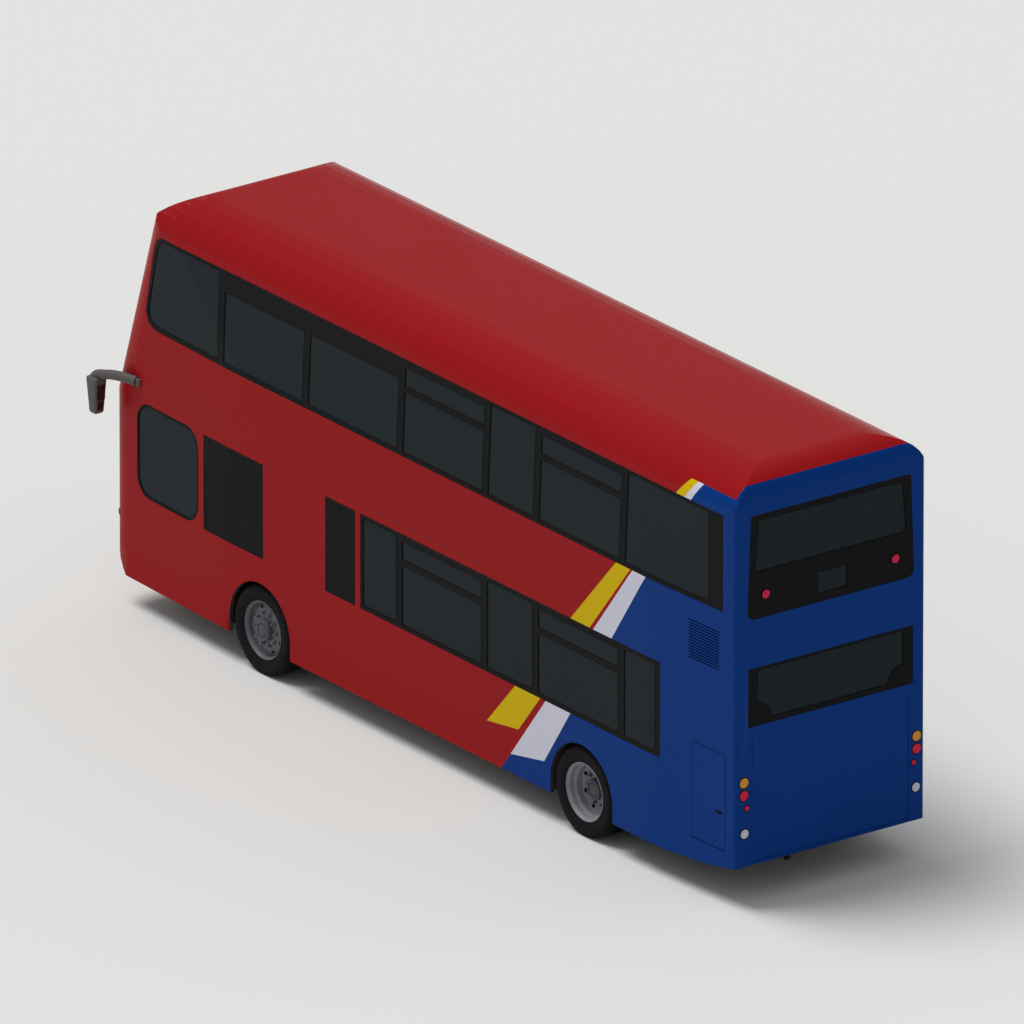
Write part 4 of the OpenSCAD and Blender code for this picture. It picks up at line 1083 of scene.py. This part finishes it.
print("wipers:", len(solids("wipers")))

# %% [markdown]
# ## Fittings on the skin
# Small fittings are set on the body wherever they belong, so a ray finds the skin's own surface
# there: its point and its outward direction give the fitting its place and turn.

# %% Find a place on a panel
def skin_at(node, origin, direction):
    """Where a ray meets a panel, as a matrix whose Y axis points out of the skin."""
    source = merged_copy(node)
    tree = BVHTree.FromBMesh(source)
    source.free()
    point, normal, _, _ = tree.ray_cast(Vector(origin), Vector(direction))
    out = normal if normal.dot(Vector(direction)) < 0 else -normal
    upright = (Vector((0, 0, 1)) - out * out.z).normalized()
    across = out.cross(upright)
    turn = Matrix((across, out, upright)).transposed().to_4x4()
    return Matrix.Translation(point) @ turn


# %% Handle and corner markers
def set_on(bm, spot, size, radius, lift=0.0):
    """A small rounded block of (width, depth, height) standing on the skin."""
    width, depth, height = size
    pour(bm, rounded_box((-width / 2, lift, -height / 2),
                         (width / 2, lift + depth, height / 2), radius), spot)


grip = bmesh.new()
low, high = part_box("service_door")
spot = skin_at("service_door", (low.x + 0.1, 2, 0.952), (0, -1, 0))
set_on(grip, spot, (0.1, 0.003, 0.03), 0.0012)
set_on(grip, spot, (0.07, 0.005, 0.012), 0.002, 0.003)
finish_piece("service_door_handle", grip, black_panel, "service_door")
markers = bmesh.new()
for side in (1, -1):
    spot = skin_at("front_lower_panel", (x_nose - 0.09, side * 2, 0.92), (0, -side, 0))
    set_on(markers, spot, (0.07, 0.006, 0.055), 0.003)
finish_piece("corner_markers", markers, black_panel)
print("service door from", round(low.x, 3), "to", round(high.x, 3))

# %% [markdown]
# ## Front plate and indicators
# The front carries a blank plate on the bumper and an amber lamp above each outer headlamp.
# Both sit on a slightly curved skin, so the same ray places them as the handle above.

# %% Plates and indicators
plate_acrylic = worn("blank_white_acrylic_plate", "#B9B9B5", "#C6C6C1", 60, (0.3, 0.4), 20, 0.02)
plates, indicators = bmesh.new(), bmesh.new()
spot = skin_at("front_bumper", (x_nose + 1, 0, 0.5), (-1, 0, 0))
set_on(plates, spot, (0.52, 0.004, 0.11), 0.0015)
for side in (1, -1):
    spot = skin_at("front_lower_panel", (x_nose + 1, side * 0.945, 0.9), (-1, 0, 0))
    set_on(indicators, spot, (0.1, 0.006, 0.045), 0.0025)
finish_piece("front_plate", plates, plate_acrylic)
finish_piece("front_indicators", indicators, amber_lens)
print("front plate height", round(spot.translation.z, 3))

# %% [markdown]
# ## Engine grille
# Cooling air enters through louvres cut in the skin. Behind the fourteen slots stand sloping
# blades, so that rain runs out again, and a dark mesh closes the duct behind them. Each blade is
# one bevelled strip, tilted and repeated down the opening.

# %% Louvre blades and duct
GRILLE_X = (x_tail + 0.258, x_tail + 0.724)
GRILLE_Z = (2.422, 2.844)
LOUVRES = 14
RAY_Z = GRILLE_Z[1] + 0.02        # whole skin, just over the top slot
spot = skin_at("left_upper_side", (sum(GRILLE_X) / 2, 2, RAY_Z), (0, -1, 0))
width, pitch = GRILLE_X[1] - GRILLE_X[0], (GRILLE_Z[1] - GRILLE_Z[0]) / LOUVRES
slats = bmesh.new()
for i in range(LOUVRES):
    drop = GRILLE_Z[0] + (i + 0.5) * pitch - RAY_Z + 0.004
    blade = rounded_box((-width / 2, -0.016, -0.0012), (width / 2, 0.012, 0.0012), 0.0005, 1)
    tilt = at(0, -0.022, drop) @ turned(math.radians(-35), "X")
    pour(slats, blade, spot @ tilt)
finish_piece("grille_louvres", slats, black_panel)
duct = rounded_box((-width / 2 - 0.02, -0.062, GRILLE_Z[0] - GRILLE_Z[1] - 0.04),
                   (width / 2 + 0.02, -0.05, 0.0), 0.004)
bmesh.ops.transform(duct, matrix=spot, verts=duct.verts)
finish_piece("grille_backing", duct, gasket)
print("louvres:", LOUVRES)

# %% [markdown]
# ## Seats
# Each bench is a moulded shell on two legs with a padded cushion and back for each of its two
# places. A pad is foam under moquette: firm, slightly crowned, with its sides pulled in between
# the corners. One cushion and one back are blown up by a short cloth simulation, which gives
# that crown by itself, and every place gets a copy of them.

# %% Blow up one pad
PAD_STEPS, PAD_SWELL, PAD_FRAMES = 8, 0.012, 12


def plump(size, name):
    """A foam pad of that size, swelled by pressure, as a bmesh about its own middle."""
    bm = rounded_box([-v / 2 + 0.4 * PAD_SWELL for v in size],
                     [v / 2 - 0.4 * PAD_SWELL for v in size], 0.012, 1)
    long_edges = [e for e in bm.edges if e.calc_length() > 0.05]
    bmesh.ops.subdivide_edges(bm, edges=long_edges, cuts=PAD_STEPS, use_grid_fill=True)
    mesh = bpy.data.meshes.new(name)
    bm.to_mesh(mesh)
    at_rest = [v.co.copy() for v in mesh.vertices]
    holder = linked(name, mesh)
    cloth = holder.modifiers.new("foam", "CLOTH")
    cloth.settings.use_pressure = True
    cloth.settings.uniform_pressure_force = 4
    cloth.settings.effector_weights.gravity = 0
    for number in range(PAD_FRAMES):
        bpy.context.scene.frame_set(number + 1)
    blown = evaluated(holder)
    for vert, rest in zip(bm.verts, at_rest):
        move = blown.vertices[vert.index].co - rest
        vert.co = rest + move * min(1, PAD_SWELL / max(move.length, 1e-6))
    bpy.context.scene.frame_set(1)
    bpy.data.objects.remove(holder)
    bpy.data.meshes.remove(blown)
    return bm


cushion_pad = plump((0.4, 0.405, 0.075), "cushion_blank")
back_pad = plump((0.055, 0.4, 0.53), "back_blank")
print("cushion vertices:", len(cushion_pad.verts))

# %% Benches on both decks
LEAN = math.atan2(0.09, 0.59)
PLACE = 0.213             # from the middle of a bench to the middle of one place
BETWEEN_DECKS = 2.0


def about(x, side, z, turn):
    """The place of a pad on one half of a bench."""
    return at(x, side * PLACE, z) @ turned(turn, "Y")


def bench_shell():
    """The seat and the two backs of a bench, about the foot of its back."""
    bm = rounded_box((0.02, -0.425, 0.385), (0.43, 0.425, 0.405), 0.008)
    for side in (-1, 1):
        back = rounded_box((-0.085, -0.205, -0.05), (-0.058, 0.205, 0.6), 0.012)
        pour(bm, back, about(0.105, side, 0.46, -LEAN))
    return bm


def bench_rail():
    """The grab rail over the backs."""
    half = [Vector((-0.02, 0.4, 0.97)), Vector((-0.035, 0.385, 1.035)),
            Vector((-0.035, 0.3, 1.045))]
    return pipe([Vector((p.x, -p.y, p.z)) for p in half] + half[::-1], 0.013, smooth=False)


def bench_legs(foot):
    """Two legs with their floor plates, down to the deck at that height."""
    bm = bmesh.new()
    for middle in (-0.1, 0.1):
        pour(bm, rounded_box((0.13, middle - 0.014, foot + 0.004),
                             (0.29, middle + 0.014, 0.388), 0.006, 1))
        pour(bm, rounded_box((0.1, middle - 0.03, foot + 0.0005),
                             (0.32, middle + 0.03, foot + 0.006), 0.002, 1))
    return bm


benches = [(Vector((low.x + 0.05, (low.y + high.y) / 2, high.z - 1.06)), low.z)
           for low, high in solids("passenger_seats")]
for deck in ("lower", "upper"):
    shells, rails, legs, cushions, backs = (bmesh.new() for _ in range(5))
    for origin, floor_z in benches:
        if (origin.z > BETWEEN_DECKS) != (deck == "upper"):
            continue
        there = Matrix.Translation(origin)
        pour(shells, bench_shell(), there)
        pour(rails, bench_rail(), there)
        pour(legs, bench_legs(floor_z - origin.z), there)
        for side in (-1, 1):
            pour(cushions, cushion_pad.copy(), there @ about(0.235, side, 0.443,
                                                             math.radians(-3)))
            pour(backs, back_pad.copy(), there @ about(0.055, side, 0.76, -LEAN))
    stand_in = ("passenger_seats",)
    finish_piece(deck + "_bench_shells", shells, cab_abs, "body", stand_in)
    finish_piece(deck + "_bench_rails", rails, pole_powder, "body", stand_in, 50)
    finish_piece(deck + "_bench_legs", legs, chassis_wax, "body", stand_in)
    for name, pads in (("cushions", cushions), ("backs", backs)):
        pad = finish_piece(deck + "_seat_" + name, pads, seat_moquette, "body",
                           stand_in, 70)
print("benches:", len(benches))

# %% [markdown]
# ## Driver's seat and cab
# The driver's seat is deeper than a passenger's: a thick cushion, a tall back and a headrest,
# on an air-sprung pedestal hidden by a rubber bellows.

# %% Driver's seat
driver_cloth, tree, shader, place = begin("woven_charcoal_seat_cloth", "#202024", Roughness=0.9,
                                          Sheen_Weight=0.2)
weave = cells(tree, place, 5)
tinted(tree, shader, weave, "#1B1B1E", "#2E2E33")
relief(tree, shader, weave, 0.6)
low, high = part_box("driver_seat")
seat_x, seat_mid, seat_z = low.x + 0.09, (low.y + high.y) / 2, low.z
seat_foam = bmesh.new()
for name, size, x, z in (("cushion", (0.46, 0.48, 0.13), 0.25, 0.325),
                         ("back", (0.11, 0.45, 0.56), -0.02, 0.68),
                         ("headrest", (0.09, 0.26, 0.14), -0.02, 1.02)):
    pour(seat_foam, plump(size, f"driver_{name}_blank"),
         at(seat_x + x, seat_mid, seat_z + z))
driver_pad = finish_piece("driver_seat_pads", seat_foam, driver_cloth, "body",
                          ("driver_seat",), 70)
pedestal = bmesh.new()
# Foot plate, five folds of the bellows and seat pan: ends ahead and behind, half width, levels
FOLD = 0.036
slabs = [(0.06, 0.4, 0.2, 0.001, 0.04, 0.008), (0.02, 0.46, 0.22, 0.215, 0.255, 0.01)]
slabs += [(0.08, 0.38, 0.18, 0.04 + i * FOLD, 0.074 + i * FOLD, 0.014) for i in range(5)]
for behind_x, ahead_x, half, foot, top, radius in slabs:
    pour(pedestal, rounded_box((seat_x + behind_x, seat_mid - half, seat_z + foot),
                               (seat_x + ahead_x, seat_mid + half, seat_z + top), radius))
finish_piece("driver_seat_pedestal", pedestal, gasket, "body",
             ("driver_seat",))
print("driver's seat at", round(seat_x, 3))

# %% [markdown]
# ## Stair nosings and engine
# A stair edge is marked by a yellow nosing so that it is seen when the bus sways. The engine is a
# straight-six lying behind the rear axle: a ribbed block with a sump, a rocker cover, an exhaust
# manifold and a fan cowl. It shows only when the rear lid is up, so broad shapes are enough.

# %% Stair nosings
low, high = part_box("staircase")
STEPS, RUN, BOARD = 8, 0.23, 0.04
rise = (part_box("upper_floor")[1].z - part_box("lower_floor")[0].z - BOARD) / (STEPS + 1)
nosings = bmesh.new()
for i in range(STEPS):
    x, z = low.x + i * RUN, high.z - (STEPS - 1 - i) * rise
    pour(nosings, rounded_box((x + 0.001, low.y + 0.01, z + 0.0003),
                              (x + 0.04, high.y - 0.06, z + 0.004), 0.0015, 1))
finish_piece("stair_nosings", nosings, pole_powder)
print("rise of a step", round(rise, 4))

# %% Engine
CYLINDERS, FAN_BLADES = 6, 9
low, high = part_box("engine_block")
length, middle = high.x - low.x, (low + high) / 2
iron = rounded_box((low.x + 0.08, -0.2, low.z + 0.25), (high.x - 0.06, 0.2, high.z - 0.22), 0.02)
pour(iron, rounded_box((low.x + 0.12, -0.15, low.z + 0.01), (high.x - 0.1, 0.15, low.z + 0.26),
                       0.04, 3))
for i in range(CYLINDERS + 1):
    x = low.x + 0.12 + i * (length - 0.24) / CYLINDERS
    pour(iron, rounded_box((x - 0.01, -0.225, low.z + 0.3), (x + 0.01, 0.225, high.z - 0.26),
                           0.004, 1))
pour(iron, rounded_box((high.x - 0.06, -0.3, low.z + 0.1), (high.x - 0.001, 0.3, low.z + 0.62),
                       0.03, 3))
finish_piece("engine_castings", iron, axle_iron, "body", ("engine_block",))
cover = rounded_box((low.x + 0.1, -0.11, high.z - 0.23), (high.x - 0.1, 0.11, high.z - 0.08),
                    0.025, 3)
for i in range(CYLINDERS):
    x = low.x + 0.17 + i * (length - 0.34) / (CYLINDERS - 1)
    port = [Vector((x, 0.2, high.z - 0.3)), Vector((x, 0.27, high.z - 0.3)),
            Vector((x - 0.02, 0.3, high.z - 0.36))]
    pour(cover, pipe(port, 0.022, 8))
log = [Vector((low.x + 0.13, 0.3, high.z - 0.38)), Vector((high.x - 0.14, 0.3, high.z - 0.38))]
pour(cover, pipe(log, 0.035, 12, smooth=False))
finish_piece("engine_covers", cover, alloy, "body", ("engine_block",), 40)
cowl = spun([(0.3, -0.03), (0.31, -0.028), (0.31, 0.03), (0.3, 0.032), (0.285, 0.02),
             (0.285, -0.02), (0.3, -0.03)], 48)
for i in range(FAN_BLADES):
    blade = rounded_box((0.05, -0.004, -0.035), (0.275, 0.004, 0.035), 0.003, 1)
    pour(cowl, blade, turned(i * math.tau / FAN_BLADES, "Y")
         @ turned(math.radians(28), "X"))
pour(cowl, spun([(0.0005, -0.03), (0.06, -0.03), (0.065, 0.0), (0.06, 0.03), (0.0005, 0.035)],
                24))
spot = at(low.x + 0.04, 0, middle.z) @ facing_back
bmesh.ops.transform(cowl, matrix=spot, verts=cowl.verts)
finish_piece("engine_fan", cowl, cab_abs, "body", ("engine_block",))
print("engine length", round(length, 3))

# %% [markdown]
# ## The size of the visual model
# The box round every piece that renders, leaving out the floor, is printed.

# %% Sizes and finish
low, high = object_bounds()
print("visual box", [round(v, 3) for v in high - low])
